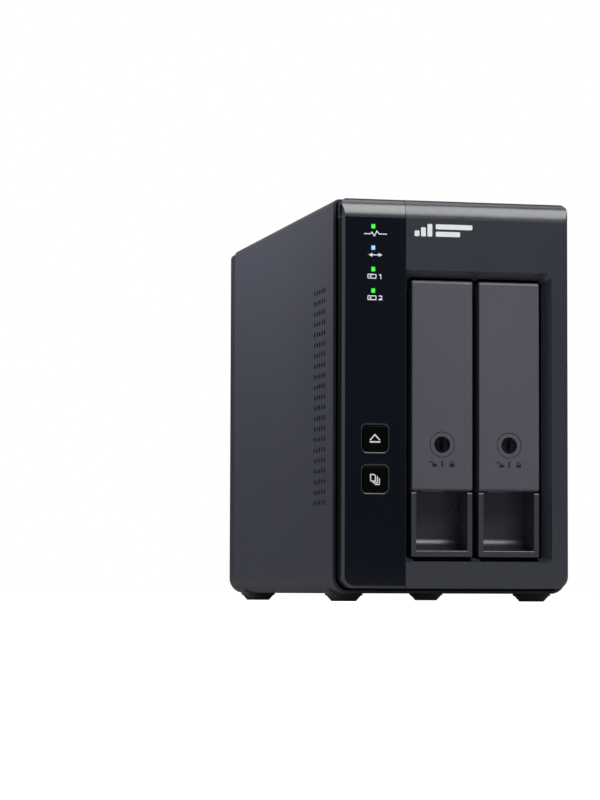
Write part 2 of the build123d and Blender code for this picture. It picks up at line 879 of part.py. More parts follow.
def rear_panel():
    """Steel panel with the fan opening and the cut-outs for the sockets."""
    plate = cover_form(rear_wall + panel_gap, panel_inner, panel_face, rear_frame_drop)
    plate = plate - rod_y(fan_x, 0, body_depth, fan_z, fan_bore_radius)
    for x, z in fan_corners():
        plate = plate - rod_y(x, panel_inner - 1, panel_face + 1, z, fan_screw_radius + 0.2)
    d0 = panel_inner - 1
    d1 = panel_face + 1
    gap = 2 * port_gap
    x = board_face + usb_width / 2
    usb = round_block(x, usb_z, usb_width + gap, usb_height + gap, d0, d1, usb_radius + port_gap)
    jack = rod_y(port_x, d0, d1, jack_z, jack_bore + jack_wall + port_gap)
    x = board_face + mode_width / 2
    mode = round_block(x, mode_z, mode_width + gap, mode_height + gap, d0, d1, 0.5)
    slot = round_block(port_x + 4, lock_slot_z, lock_slot_width, lock_slot_height, d0, d1, 1.0)
    return plate - usb - jack - mode - slot - power_hole(d0, d1)


def fan_frame():
    """Square fan housing with a hub carried on struts."""
    half = fan_size / 2
    body = block(fan_x - half, fan_x + half, fan_front, fan_back, fan_z - half, fan_z + half)
    body = fillet(body.edges().filter_by(Axis.Y), 3.0)
    body = body - rod_y(fan_x, fan_front - 1, fan_back + 1, fan_z, fan_bore_radius)
    d0 = fan_back - 1.6
    body = body + rod_y(fan_x, d0, fan_back, fan_z, fan_hub_radius - 1)
    middle = Pos(fan_x, front_y + (d0 + fan_back) / 2, fan_z)
    strut = Box(fan_bore_radius - fan_hub_radius + 4, fan_back - d0, 4.0)
    reach = (fan_bore_radius + fan_hub_radius) / 2
    for angle in (45, 135, 225, 315):
        body = body + middle * Rot(0, angle, 0) * Pos(reach, 0, 0) * strut
    for x, z in fan_corners():
        body = body - rod_y(x, fan_front - 1, fan_back + 1, z, fan_screw_radius)
    body = body - rod_y(fan_x, fan_front, d0, fan_z, 2.0)
    return body


def fan_rotor():
    """Hub cup and seven pitched blades."""
    d0 = fan_front + 0.8
    d1 = fan_back - 1.6 - 0.5
    rotor = rod_y(fan_x, d0, d1, fan_z, fan_hub_radius)
    rotor = fillet(rotor.faces().sort_by(Axis.Y)[0].edges(), 1.2)
    tip = fan_bore_radius - fan_tip_gap
    span = tip - fan_hub_radius + 1.5
    middle = front_y + (d0 + d1) / 2
    limit = rod_y(fan_x, d0, d1, fan_z, tip)
    for i in range(fan_blades):
        angle = i * 360 / fan_blades
        blade = Pos(fan_hub_radius - 1.5 + span / 2, 0, 0) * Rot(38, 0, 0) * Box(span + 2, 1.4, 15.0)
        blade = Pos(fan_x, middle, fan_z) * Rot(0, angle, 0) * blade
        rotor = rotor + (blade & limit)
    return rotor


def fan_grille():
    """Ring guard over the fan opening."""
    d0 = panel_face
    d1 = d0 + grille_depth
    rings = []
    for i in range(5):
        radius = fan_bore_radius - 1.2 - i * 6.4
        ring = rod_y(fan_x, d0, d1, fan_z, radius + grille_ring / 2 + (1.2 if i == 0 else 0))
        rings.append(ring - rod_y(fan_x, d0 - 1, d1 + 1, fan_z, radius - grille_ring / 2))
    guard = join(rings)
    reach = fan_screw_pitch * math.sqrt(0.5)
    for angle in (45, 135, 225, 315):
        bar = Box(reach - 5.0, grille_depth, grille_ring)
        arm = Rot(0, angle, 0) * Pos(5.0 + (reach - 5.0) / 2, 0, 0) * bar
        guard = guard + Pos(fan_x, front_y + (d0 + d1) / 2, fan_z) * arm
    for x, z in fan_corners():
        guard = guard + rod_y(x, d0, d1, z, 4.2)
        guard = guard - rod_y(x, d0 - 1, d1 + 1, z, fan_screw_radius)
    return guard


def fan_screws():
    """Four screws through the guard, the panel and the fan."""
    screws = []
    for x, z in fan_corners():
        top = panel_face + grille_depth
        head = rod_y(x, top, top + 0.9, z, 3.0)
        head = fillet(head.faces().sort_by(Axis.Y)[-1].edges(), 0.5)
        shaft = rod_y(x, fan_front + 4, top, z, fan_screw_radius)
        cross = block(x - 1.8, x + 1.8, top + 0.3, top + 2, z - 0.35, z + 0.35)
        slot = block(x - 0.35, x + 0.35, top + 0.3, top + 2, z - 1.8, z + 1.8)
        screws.append(head + shaft - cross - slot)
    return Compound(screws)


def usb_socket():
    """Rounded shell with a tongue, lying on the board."""
    x = board_face + usb_width / 2
    d1 = panel_face - 0.1
    shell = round_block(x, usb_z, usb_width, usb_height, d1 - usb_depth, d1, usb_radius)
    shell = shell - round_block(x, usb_z, usb_width - 0.7, usb_height - 0.7, d1 - 6.4, d1 + 1, 0.9)
    return shell + block(x - 0.35, x + 0.35, d1 - 6.5, d1 - 0.6, usb_z - 3.3, usb_z + 3.3)


def power_jack():
    """Round supply socket with a centre pin."""
    half = jack_size / 2
    d1 = panel_inner - 0.2
    x0 = board_face
    body = block(x0, port_x + half, d1 - jack_depth, d1, jack_z - half, jack_z + half)
    body = body + rod_y(port_x, d1, panel_face, jack_z, jack_bore + jack_wall)
    body = body - rod_y(port_x, d1 - 9, panel_face + 1, jack_z, jack_bore)
    return body + rod_y(port_x, d1 - 9.5, panel_face - 1.2, jack_z, jack_pin)


def slider_z(index):
    return mode_z + (index - 0.5) * slider_pitch


def mode_block():
    """Switch block with a slot for each slider."""
    d1 = panel_face - 0.3
    z0 = mode_z - mode_height / 2
    z1 = mode_z + mode_height / 2
    body = block(board_face, board_face + mode_width, d1 - mode_depth, d1, z0, z1)
    for i in range(2):
        z = slider_z(i)
        x0 = board_face + mode_width / 2 - (slider_size + slider_travel) / 2 - slider_gap
        x1 = x0 + slider_size + slider_travel + 2 * slider_gap
        h = slider_size / 2 + slider_gap
        body = body - block(x0, x1, d1 - 4.0, d1 + 1, z - h, z + h)
    return body


def mode_slider(index):
    d1 = panel_face - 0.3
    z = slider_z(index)
    x0 = board_face + mode_width / 2 - (slider_size + slider_travel) / 2
    h = slider_size / 2
    nub = block(x0, x0 + slider_size, d1 - 3.7, d1 + 0.8, z - h, z + h)
    return chamfer(nub.faces().sort_by(Axis.Y)[-1].edges(), 0.25)


def power_button():
    """Round key in the rear panel."""
    x = port_x + 2
    d1 = panel_face + 1.0
    key = rod_y(x, panel_inner - 2.0, d1, power_z, power_radius)
    key = fillet(key.faces().sort_by(Axis.Y)[-1].edges(), 0.6)
    rim = rod_y(x, panel_inner - 2.0, panel_inner - 1.0, power_z, power_radius + 1.2)
    return key + rim + rod_y(x, panel_inner - 6.0, panel_inner - 2.0, power_z, stem_radius)


def foot(side, rear):
    """Tapered rubber foot that follows the cover's underside."""
    x = side * feet_x
    depth = body_depth - foot_rear_depth if rear else foot_front_depth
    cone_top = floor_z - foot_rim
    cone = Pos(x, front_y + depth, cone_top / 2) * Cone(foot_low_radius, foot_top_radius, cone_top)
    rim = rod_z(x, depth, cone_top, floor_z + cover_low_radius, foot_rim_radius)
    body = cone + rim
    body = body & block(-body_width / 2 + 0.4, body_width / 2 - 0.4, 0, body_depth, 0, floor_z + 3.0)
    body = body - cover_form(0, 0, body_depth)
    return body - rod_z(x, depth, -1, foot_hole_depth, foot_hole_radius)


# ------------------------------------------------------------------------ output
def all_parts():
    parts = {
        "outer_cover": outer_cover(),
        "front_bezel": front_bezel(),
        "control_column": control_column(),
        "control_panel": control_panel(),
        "column_cap": column_cap(),
        "status_light": light_pipe(0),
        "link_light": light_pipe(1),
        "drive_light_1": light_pipe(2),
        "drive_light_2": light_pipe(3),
        "copy_button": push_key(button_z()[0]),
        "eject_button": push_key(button_z()[1]),
        "front_board": front_board(),
        "front_switches": front_switches(),
        "drive_cage": drive_cage(),
        "board_posts": board_posts(),
        "chassis_floor": chassis_floor(),
        "main_board": main_board(),
        "bridge_chip": bridge_chip(),
        "heat_sink": heat_sink(),
        "board_capacitors": board_capacitors(),
        "backplane": backplane(),
        "rear_frame": rear_frame(),
        "rear_panel": rear_panel(),
        "fan_frame": fan_frame(),
        "fan_rotor": fan_rotor(),
        "fan_grille": fan_grille(),
        "fan_screws": fan_screws(),
        "usb_socket": usb_socket(),
        "power_jack": power_jack(),
        "mode_block": mode_block(),
        "mode_slider_1": mode_slider(0),
        "mode_slider_2": mode_slider(1),
        "power_button": power_button(),
        "foot_front_left": foot(-1, False),
        "foot_front_right": foot(1, False),
        "foot_rear_left": foot(-1, True),
        "foot_rear_right": foot(1, True),
    }
    for i, x in enumerate(tray_x, start=1):
        parts[f"tray_{i}_fascia"] = tray_fascia(x)
        parts[f"tray_{i}_upper_rail"] = tray_rail(x, True)
        parts[f"tray_{i}_lower_rail"] = tray_rail(x, False)
        parts[f"drive_{i}_base"] = drive_base(x)
        parts[f"drive_{i}_lid"] = drive_cover(x)
        parts[f"drive_{i}_board"] = drive_board(x)
        parts[f"drive_{i}_socket"] = drive_socket(x)
        parts[f"lever_{i}"] = lever(x)
        parts[f"lever_{i}_pin"] = lever_pin(x)
        parts[f"lock_{i}_ring"] = lock_ring(x)
        parts[f"lock_{i}_core"] = lock_core(x)
    return parts


os.makedirs("parts", exist_ok=True)
for name, shape in all_parts().items():
    export_step(shape, f"parts/{name}.step")
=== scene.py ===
import math
import bpy
import bmesh
from bpy.props import FloatProperty, FloatVectorProperty, PointerProperty
from mathutils import Matrix, Vector


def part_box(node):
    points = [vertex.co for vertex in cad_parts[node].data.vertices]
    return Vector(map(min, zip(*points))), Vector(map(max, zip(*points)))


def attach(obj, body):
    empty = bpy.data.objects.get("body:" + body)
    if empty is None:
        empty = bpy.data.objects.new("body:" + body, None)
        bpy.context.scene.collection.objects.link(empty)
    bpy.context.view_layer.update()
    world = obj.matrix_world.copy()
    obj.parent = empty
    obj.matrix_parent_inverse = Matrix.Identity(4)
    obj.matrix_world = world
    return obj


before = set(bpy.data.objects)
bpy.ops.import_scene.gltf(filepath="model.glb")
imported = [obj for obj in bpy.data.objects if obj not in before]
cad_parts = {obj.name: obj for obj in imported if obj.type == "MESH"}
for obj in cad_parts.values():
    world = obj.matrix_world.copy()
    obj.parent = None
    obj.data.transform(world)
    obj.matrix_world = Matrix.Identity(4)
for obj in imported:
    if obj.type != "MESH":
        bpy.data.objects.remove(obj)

bl_info = {
    "name": "Two-bay drive enclosure",
    "version": (1, 0, 0),
    "blender": (4, 5, 0),
    "location": "3D View > Sidebar > Enclosure",
    "description": "Finishes, printed marks and fittings of a two-bay desktop drive enclosure",
    "category": "Object",
}

MM = 0.001
TRAYS = ("1", "2")
UP = Vector((0, 0, 1))
FRONT = (0, -1, 0)
OVER = 1.02  # how much higher a mark is where it crosses another

# points of the printed marks, in millimetres round each mark's centre
PULSE = (
    (-4.8, -0.2), (-2.2, -0.2), (-1.5, 0.5), (-0.5, -1.05), (0.6, 1.05), (1.6, -0.2), (4.8, -0.2))
ONE = ((1.7, 0.55), (2.3, 0.85), (2.3, -0.95))
TWO = ((1.5, 0.78), (2.75, 0.78), (2.75, 0.0), (1.5, -0.76), (2.95, -0.76))
ROOF = ((-2.05, -0.65), (0.0, 1.6), (2.05, -0.65))
PAGE = ((-1.85, -0.75), (-1.85, 2.0), (-0.45, 2.0), (0.2, 1.4), (0.2, -0.75))
PAGES_BEHIND = (
    ((1.05, 1.15), (1.05, -1.45), (-0.85, -1.45)), ((1.9, 0.3), (1.9, -2.15), (0.0, -2.15)))
SCREW_HEAD = ((0.0, 0.9), (0.9, 0.9), (1.7, 0.75), (2.25, 0.4), (2.45, 0.0), (0.0, 0.0))

# emblem, in parts of its own width of 25.2: middle and height of each upright bar, then
# middle, width and height of each lying bar
EMBLEM_UNITS = 25.2
EMBLEM_UPRIGHT = ((-11.55, 0.45), (-8.75, 0.72), (-5.95, 1.0))
EMBLEM_LYING = ((4.6, 16.0, 0.29), (1.9, 10.6, -0.29))

# a bevel's normal looks less far forward than the face and further than the sides; these bounds
# pick the bevels that get a painted highlight
BEVEL_NORMALS = (-0.92, -0.40)

CAMERA_PLACE = (-0.35085, -1.32782, 0.00398)
CAMERA_YAW, CAMERA_PITCH, CAMERA_ROLL = 0.2287, 0.06318, 0.00318


# ------------------------------------------------------------------ settings
def tint(name, default, description):
    """A linear colour that a user may change."""
    return FloatVectorProperty(
        name=name, description=description, default=default, size=3, min=0, max=1,
        subtype="COLOR")


def length(name, default, description):
    """A length in metres, given here in millimetres."""
    return FloatProperty(
        name=name, description=description, default=default * MM, min=0, subtype="DISTANCE",
        unit="LENGTH")


def power(name, default, description):
    """A lamp's power in watts."""
    return FloatProperty(
        name=name, description=description, default=default, min=0, unit="POWER")


class EnclosureColours(bpy.types.PropertyGroup):
    cover: tint("Cover paint", (0.050, 0.0515, 0.068), "Powder coat of the steel cover")
    bezel: tint("Bezel", (0.034, 0.038, 0.050), "Moulded front bezel")
    tray: tint("Trays", (0.098, 0.098, 0.122), "Moulded tray fronts and levers")
    # darker than the trays: partly the frames' own tone, partly painted shade for the set-back
    # frames and the pockets under the levers
    fascia: tint("Fascias", (0.044, 0.045, 0.059), "Moulded frames behind the levers")
    gloss: tint("Gloss panel", (0.0052, 0.0070, 0.0125), "Glossy panel of the control column")
    # painted highlight: a paler colour on the gloss panel's bevels in place of their reflection
    bevel_highlight: tint("Painted bevel highlight", (0.050, 0.052, 0.068), "Bevels round the gloss panel and its keys")
    key: tint("Keys", (0.0008, 0.0009, 0.0012), "Push keys")
    rear: tint("Rear moulding", (0.020, 0.021, 0.024), "Moulded rear frame and fan")
    white: tint("White print", (1.0, 1.0, 1.0), "Printed marks on the front")
    # also the painted shade on the screw heads, in place of their hollow recesses
    dark: tint("Dark print and recess shade", (0.003, 0.003, 0.004), "Printed marks on the levers, and painted shade in the screw recesses")
    green: tint("Green lamps", (0.002, 0.58, 0.006), "Lit status and drive lamps")
    blue: tint("Blue lamp", (0.05, 0.27, 1.0), "Lit link lamp")


class EnclosureMarks(bpy.types.PropertyGroup):
    lift: length("Print thickness", 0.03, "How far a print stands off its face")
    stroke: length("Caption stroke", 0.42, "Line width of the small captions")
    drop: length("Caption drop", 1.25, "From a lamp's lower edge to the middle of its caption")
    emblem_width: length("Emblem width", 25.2, "Width of the plain emblem on the bezel")
    emblem_height: length("Emblem height", 5.3, "Height of the plain emblem on the bezel")
    emblem_inset: length("Emblem inset", 3.7, "From the bezel's left edge to the emblem")
    emblem_top: length("Emblem drop", 10.4, "From the bezel's top to the emblem's top")
    key_stroke: length("Key stroke", 0.5, "Line width of the symbols on the keys")
    lock_stroke: length("Lock stroke", 0.42, "Line width of the lock symbols")
    lock_drop: length("Lock symbols' drop", 8.05, "From a lock's centre to its symbols")


class EnclosureStage(bpy.types.PropertyGroup):
    floor: FloatProperty(
        name="Floor size", description="Side of the pale floor", default=14.0, unit="LENGTH")
    glow: FloatProperty(
        name="Floor glow", description="Light added to the floor so that it stays pale",
        default=0.95, min=0)
    bounce: FloatProperty(
        name="Floor bounce", description="Light the floor sends up to the object", default=0.06,
        min=0)
    front: power("Front softbox", 4.55, "Large soft lamp in front, high above the camera")
    top: power("Top softbox", 0.8, "Soft lamp overhead")
    left: power("Left softbox", 1.9, "Upright soft lamp on the left, above the cover's cheek")
    high: power("High softbox", 0.25, "Small lamp high on the left, for the rolled edges")
    strip: power("Left strip", 0.17, "Far upright lamp on the left, for the bevels")
    low: power("Low softbox", 0.04, "Long low lamp in front, for the edges that face down")
    room: FloatProperty(
        name="Room light", description="Brightness of the room around the object, low down",
        default=0.042, min=0)
    lens: FloatProperty(
        name="Lens", description="Focal length of the camera", default=136.29, unit="CAMERA")


# ----------------------------------------------------------- flat shape maker
def append(target, part):
    """Adds one closed shape to a mesh in the making."""
    bmesh.ops.recalc_face_normals(part, faces=part.faces[:])
    mesh = bpy.data.meshes.new("shape")
    part.to_mesh(mesh)
    part.free()
    target.from_mesh(mesh)
    bpy.data.meshes.remove(mesh)


def thicken(target, part, lift):
    """Gives a flat shape its thickness, from 0 up, and adds it."""
    made = bmesh.ops.extrude_face_region(part, geom=part.faces[:])
    raised = [v for v in made["geom"] if isinstance(v, bmesh.types.BMVert)]
    bmesh.ops.translate(part, verts=raised, vec=UP * lift)
    append(target, part)


def tablet(target, centre, size, radius, lift, hollow=0.0):
    """A flat plate with round corners; with a hollow width it is an outline."""
    part = bmesh.new()
    place = Matrix.Translation((centre[0], centre[1], 0))
    place = place @ Matrix.Diagonal((size[0], size[1], 1, 1))
    bmesh.ops.create_grid(part, x_segments=1, y_segments=1, size=0.5, matrix=place)
    if radius:
        bmesh.ops.bevel(
            part, geom=part.verts[:], offset=radius, affect="VERTICES", segments=4, profile=0.5,
            material=-1)
    if hollow:
        rim = bmesh.ops.inset_region(
            part, faces=part.faces[:], thickness=hollow, use_boundary=True, use_even_offset=True)
        inner = [f for f in part.faces if f not in set(rim["faces"])]
        bmesh.ops.delete(part, geom=inner, context="FACES")
    thicken(target, part, lift)


def polygon(target, centre, radius, sides, lift, turn=0.0, squash=1.0):
    """A flat regular polygon or disc."""
    part = bmesh.new()
    place = Matrix.Translation((centre[0], centre[1], 0)) @ Matrix.Diagonal((1, squash, 1, 1))
    place = place @ Matrix.Rotation(turn, 4, "Z")
    bmesh.ops.create_circle(part, cap_ends=True, segments=sides, radius=radius, matrix=place)
    thicken(target, part, lift)


def stroke(target, points, width, lift, centre=(0, 0), closed=False):
    """A printed line through points in millimetres round a centre, with square ends."""
    ends = [Vector(centre) + Vector(point) * MM for point in points]
    if closed:
        ends.append(ends[0])
    for number, (a, b) in enumerate(zip(ends, ends[1:])):
        run = b - a
        part = bmesh.new()
        middle = (a + b) / 2
        place = Matrix.Translation((middle.x, middle.y, 0))
        place = place @ Matrix.Rotation(math.atan2(run.y, run.x), 4, "Z")
        place = place @ Matrix.Diagonal((run.length + width * 0.5, width, 1, 1))
        bmesh.ops.create_grid(part, x_segments=1, y_segments=1, size=0.5, matrix=place)
        # every other piece stands a little higher, so that no two faces lie in one plane
        thicken(target, part, lift * (1 + 0.01 * (number % 2)))


def double_arrow(target, centre, half, tip, radius, width, lift):
    """Two arrows that point apart: half the line, the tips' place and their size."""
    stroke(target, ((-half, 0), (half, 0)), width, lift, centre)
    for side in (-1, 1):
        polygon(
            target, (centre[0] + side * tip * MM, centre[1]), radius * MM, 3, lift * OVER,
            turn=-side * math.pi / 2, squash=0.85)


def arc(target, centre, radius, width, start, sweep, lift, steps=12):
    """A printed part of a ring, from a start angle on."""
    part = bmesh.new()
    low = part.verts.new((centre[0] + radius - width / 2, centre[1], 0))
    high = part.verts.new((centre[0] + radius + width / 2, centre[1], 0))
    edge = part.edges.new((low, high))
    pivot = Vector((centre[0], centre[1], 0))
    bmesh.ops.rotate(part, verts=[low, high], cent=pivot, matrix=Matrix.Rotation(start, 3, "Z"))
    bmesh.ops.spin(
        part, geom=[low, high, edge], cent=pivot, axis=UP, angle=sweep, steps=steps,
        use_duplicate=False)
    thicken(target, part, lift)


def turned(target, centre, profile, steps=32):
    """A round part: a profile of radius and height, spun about Z."""
    part = bmesh.new()
    verts = [part.verts.new((r, 0, z)) for r, z in profile]
    edges = [part.edges.new(pair) for pair in zip(verts, verts[1:])]
    bmesh.ops.spin(
        part, geom=verts + edges, cent=(0, 0, 0), axis=UP, angle=math.tau, steps=steps,
        use_merge=True, use_duplicate=False)
    bmesh.ops.remove_doubles(part, verts=part.verts[:], dist=1e-7)
    bmesh.ops.translate(part, verts=part.verts[:], vec=centre)
    append(target, part)


def facing(point, outward):
    """The place of a flat drawing on an upright face, seen from outside."""
    outward = Vector(outward)
    right = UP.cross(outward)
    turn = Matrix((right, UP, outward)).transposed().to_4x4()
    return Matrix.Translation(point) @ turn


def settle(target, name, place, body, material, smooth=False):
    """Turns a finished drawing into a piece that rides on a body."""
    target.transform(place)
    mesh = bpy.data.meshes.new(name)
    target.to_mesh(mesh)
    target.free()
    piece = bpy.data.objects.new(name, mesh)
    bpy.context.scene.collection.objects.link(piece)
    mesh.materials.append(material)
    if smooth:
        mesh.shade_smooth()
        mesh.set_sharp_from_angle(angle=math.radians(35))
    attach(piece, body)


def middle(node):
    """The middle of a CAD node's box."""
    low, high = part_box(node)
    return (low + high) / 2


def front_of(node):
    """The middle of a CAD node's front face."""
    point = middle(node)
    point.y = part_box(node)[0].y
    return point


def back_of(node):
    """The middle of a CAD node's rear face."""
    point = middle(node)
    point.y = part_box(node)[1].y
    return point


# -------------------------------------------------------------- shader groups
def socket(group, name, kind, direction, value=None):
    """One named input or output of a group."""
    made = group.interface.new_socket(name=name, in_out=direction, socket_type=kind)
    if value is not None:
        made.default_value = value


def new_group(name, inputs, outputs):
    """An empty group with its sockets, its input and its output nodes."""
    group = bpy.data.node_groups.new(name, "ShaderNodeTree")
    for label, kind, value in inputs:
        socket(group, label, kind, "INPUT", value)
    for label, kind in outputs:
        socket(group, label, kind, "OUTPUT")
    return group, group.nodes.new("NodeGroupInput"), group.nodes.new("NodeGroupOutput")


def add(group, kind, **values):
    """A node with its settings and its inputs by name."""
    node = group.nodes.new(kind)
    for key, value in values.items():
        if hasattr(node, key):
            setattr(node, key, value)
        else:
            node.inputs[key.replace("_", " ")].default_value = value
    return node


def maths(group, operation, a, b=None, clamp=False):
    """One step of arithmetic on numbers or sockets."""
    node = group.nodes.new("ShaderNodeMath")
    node.operation = operation
    node.use_clamp = clamp
    for place, value in enumerate((a, b)):
        if value is None:
            continue
        if isinstance(value, bpy.types.NodeSocket):
            group.links.new(value, node.inputs[place])
        else:
            node.inputs[place].default_value = value
    return node.outputs[0]


def spread(group, factor, low, high):
    """A number carried from 0..1 to low..high."""
    node = group.nodes.new("ShaderNodeMapRange")
    group.links.new(factor, node.inputs["Value"])
    for label, value in (("To Min", low), ("To Max", high)):
        if isinstance(value, bpy.types.NodeSocket):
            group.links.new(value, node.inputs[label])
        else:
            node.inputs[label].default_value = value
    return node.outputs["Result"]


def scaled_colour(group, colour, factor):
    """A colour made lighter or darker by a factor."""
    node = group.nodes.new("ShaderNodeVectorMath")
    node.operation = "SCALE"
    group.links.new(colour, node.inputs[0])
    group.links.new(factor, node.inputs["Scale"])
    return node.outputs["Vector"]


COLOUR, FLOAT, VECTOR = "NodeSocketColor", "NodeSocketFloat", "NodeSocketVector"
FINISH_OUT = (("Colour", COLOUR), ("Roughness", FLOAT), ("Height", FLOAT))


def grain_group():
    """Moulded plastic or powder coat: fine grain, speckle and slow drift."""
    inputs = (
        ("Colour", COLOUR, (0.1, 0.1, 0.1, 1)), ("Grain", FLOAT, 2500.0), ("Speckle", FLOAT, 0.1),
        ("Drift", FLOAT, 0.05), ("Rough", FLOAT, 0.5), ("Rough Spread", FLOAT, 0.05))
    group, source, sink = new_group("Moulded grain", inputs, FINISH_OUT)
    place = add(group, "ShaderNodeTexCoord").outputs["Object"]
    fine = add(group, "ShaderNodeTexNoise", Detail=3.0, Roughness=0.6)
    slow = add(group, "ShaderNodeTexNoise", Scale=14.0, Detail=3.0)
    cells = add(group, "ShaderNodeTexVoronoi", feature="SMOOTH_F1")
    for node in (fine, slow, cells):
        group.links.new(place, node.inputs["Vector"])
    for node in (fine, cells):
        group.links.new(source.outputs["Grain"], node.inputs["Scale"])
    speckle = maths(group, "SUBTRACT", fine.outputs["Fac"], 0.5)
    speckle = maths(group, "MULTIPLY", speckle, source.outputs["Speckle"])
    drift = maths(group, "SUBTRACT", slow.outputs["Fac"], 0.5)
    drift = maths(group, "MULTIPLY", drift, source.outputs["Drift"])
    factor = maths(group, "ADD", maths(group, "ADD", speckle, drift), 1.0)
    colour = scaled_colour(group, source.outputs["Colour"], factor)
    rough = maths(group, "MULTIPLY", speckle, 2.0)
    rough = maths(group, "ADD", rough, maths(group, "SUBTRACT", slow.outputs["Fac"], 0.5))
    rough = maths(group, "MULTIPLY", rough, source.outputs["Rough Spread"])
    rough = maths(group, "ADD", rough, source.outputs["Rough"], clamp=True)
    height = maths(group, "ADD", fine.outputs["Fac"], cells.outputs["Distance"])
    group.links.new(colour, sink.inputs["Colour"])
    group.links.new(rough, sink.inputs["Roughness"])
    group.links.new(height, sink.inputs["Height"])
    return group


def brushed_group():
    """Rolled or brushed metal: fine lines along one way, with soft stains."""
    inputs = (
        ("Colour", COLOUR, (0.5, 0.5, 0.5, 1)), ("Lines", VECTOR, (4000.0, 60.0, 4000.0)),
        ("Streak", FLOAT, 0.15), ("Stain", FLOAT, 0.1), ("Rough", FLOAT, 0.35),
        ("Rough Spread", FLOAT, 0.15))
    group, source, sink = new_group("Brushed metal", inputs, FINISH_OUT)
    place = add(group, "ShaderNodeTexCoord").outputs["Object"]
    stretch = add(group, "ShaderNodeVectorMath", operation="MULTIPLY")
    group.links.new(place, stretch.inputs[0])
    group.links.new(source.outputs["Lines"], stretch.inputs[1])
    lines = add(group, "ShaderNodeTexNoise", Scale=1.0, Detail=2.0)
    group.links.new(stretch.outputs["Vector"], lines.inputs["Vector"])
    stain = add(group, "ShaderNodeTexNoise", Scale=45.0, Detail=4.0)
    group.links.new(place, stain.inputs["Vector"])
    streak = maths(group, "SUBTRACT", lines.outputs["Fac"], 0.5)
    blot = maths(group, "SUBTRACT", stain.outputs["Fac"], 0.5)
    factor = maths(group, "MULTIPLY", streak, source.outputs["Streak"])
    factor = maths(group, "ADD", factor, maths(group, "MULTIPLY", blot, source.outputs["Stain"]))
    factor = maths(group, "ADD", factor, 1.0)
    colour = scaled_colour(group, source.outputs["Colour"], factor)
    rough = maths(group, "ADD", streak, blot)
    rough = maths(group, "MULTIPLY", rough, source.outputs["Rough Spread"])
    rough = maths(group, "ADD", rough, source.outputs["Rough"], clamp=True)
    group.links.new(colour, sink.inputs["Colour"])
    group.links.new(rough, sink.inputs["Roughness"])
    group.links.new(lines.outputs["Fac"], sink.inputs["Height"])
    return group


def board_group():
    """Printed board: tracks and pads under a coloured lacquer."""
    inputs = (
        ("Colour", COLOUR, (0.01, 0.08, 0.03, 1)), ("Track", COLOUR, (0.03, 0.16, 0.07, 1)),
        ("Pad", COLOUR, (0.6, 0.55, 0.4, 1)), ("Pitch", FLOAT, 520.0))
    group, source, sink = new_group("Printed board", inputs, FINISH_OUT)
    place = add(group, "ShaderNodeTexCoord").outputs["Object"]
    apart = add(group, "ShaderNodeSeparateXYZ")
    group.links.new(place, apart.inputs[0])
    flat = add(group, "ShaderNodeCombineXYZ")
    group.links.new(maths(group, "ADD", apart.outputs["X"], apart.outputs["Y"]), flat.inputs["X"])
    group.links.new(apart.outputs["Z"], flat.inputs["Y"])
    blocks = add(group, "ShaderNodeTexVoronoi", distance="MANHATTAN", Scale=90.0)
    group.links.new(flat.outputs[0], blocks.inputs["Vector"])
    bricks = add(group, "ShaderNodeTexBrick", Mortar_Size=0.12)
    group.links.new(flat.outputs[0], bricks.inputs["Vector"])
    group.links.new(source.outputs["Pitch"], bricks.inputs["Scale"])
    dots = add(group, "ShaderNodeTexVoronoi", Scale=260.0)
    group.links.new(flat.outputs[0], dots.inputs["Vector"])
    wired = maths(group, "LESS_THAN", blocks.outputs["Distance"], 0.42)
    track = maths(group, "MULTIPLY", maths(group, "LESS_THAN", bricks.outputs["Fac"], 0.5), wired)
    pad = maths(group, "LESS_THAN", dots.outputs["Distance"], 0.16)
    base = add(group, "ShaderNodeMix", data_type="RGBA")
    group.links.new(track, base.inputs["Factor"])
    group.links.new(source.outputs["Colour"], base.inputs[6])
    group.links.new(source.outputs["Track"], base.inputs[7])
    top = add(group, "ShaderNodeMix", data_type="RGBA")
    group.links.new(pad, top.inputs["Factor"])
    group.links.new(base.outputs[2], top.inputs[6])
    group.links.new(source.outputs["Pad"], top.inputs[7])
    group.links.new(top.outputs[2], sink.inputs["Colour"])
    group.links.new(spread(group, pad, 0.42, 0.3), sink.inputs["Roughness"])
    group.links.new(maths(group, "ADD", track, pad), sink.inputs["Height"])
    return group


def lamp_group():
    """A lit window: a paler core that fades to the colour at its edge."""
    inputs = (
        ("Colour", COLOUR, (0, 1, 0, 1)), ("Core", COLOUR, (0.6, 1, 0.6, 1)),
        ("Centre", VECTOR, (0, 0, 0)), ("Reach", FLOAT, 0.0012))
    group, source, sink = new_group("Lit window", inputs, (("Colour", COLOUR),))
    place = add(group, "ShaderNodeTexCoord").outputs["Object"]
    away = add(group, "ShaderNodeVectorMath", operation="DISTANCE")
    group.links.new(place, away.inputs[0])
    group.links.new(source.outputs["Centre"], away.inputs[1])
    near = maths(group, "DIVIDE", away.outputs["Value"], source.outputs["Reach"])
    near = maths(group, "SUBTRACT", 1.0, near, clamp=True)
    grain = add(group, "ShaderNodeTexNoise", Scale=3000.0)
    group.links.new(place, grain.inputs["Vector"])
    near = maths(group, "MULTIPLY", near, spread(group, grain.outputs["Fac"], 0.75, 1.25))
    mix = add(group, "ShaderNodeMix", data_type="RGBA")
    group.links.new(near, mix.inputs["Factor"])
    group.links.new(source.outputs["Colour"], mix.inputs[6])
    group.links.new(source.outputs["Core"], mix.inputs[7])
    group.links.new(mix.outputs[2], sink.inputs["Colour"])
    return group


GROUPS = {}


def group_of(kind):
    """Each shader group, built once."""
    makers = {
        "grain": grain_group, "brushed": brushed_group, "board": board_group, "lamp": lamp_group}
    if kind not in GROUPS:
        GROUPS[kind] = makers[kind]()
    return GROUPS[kind]


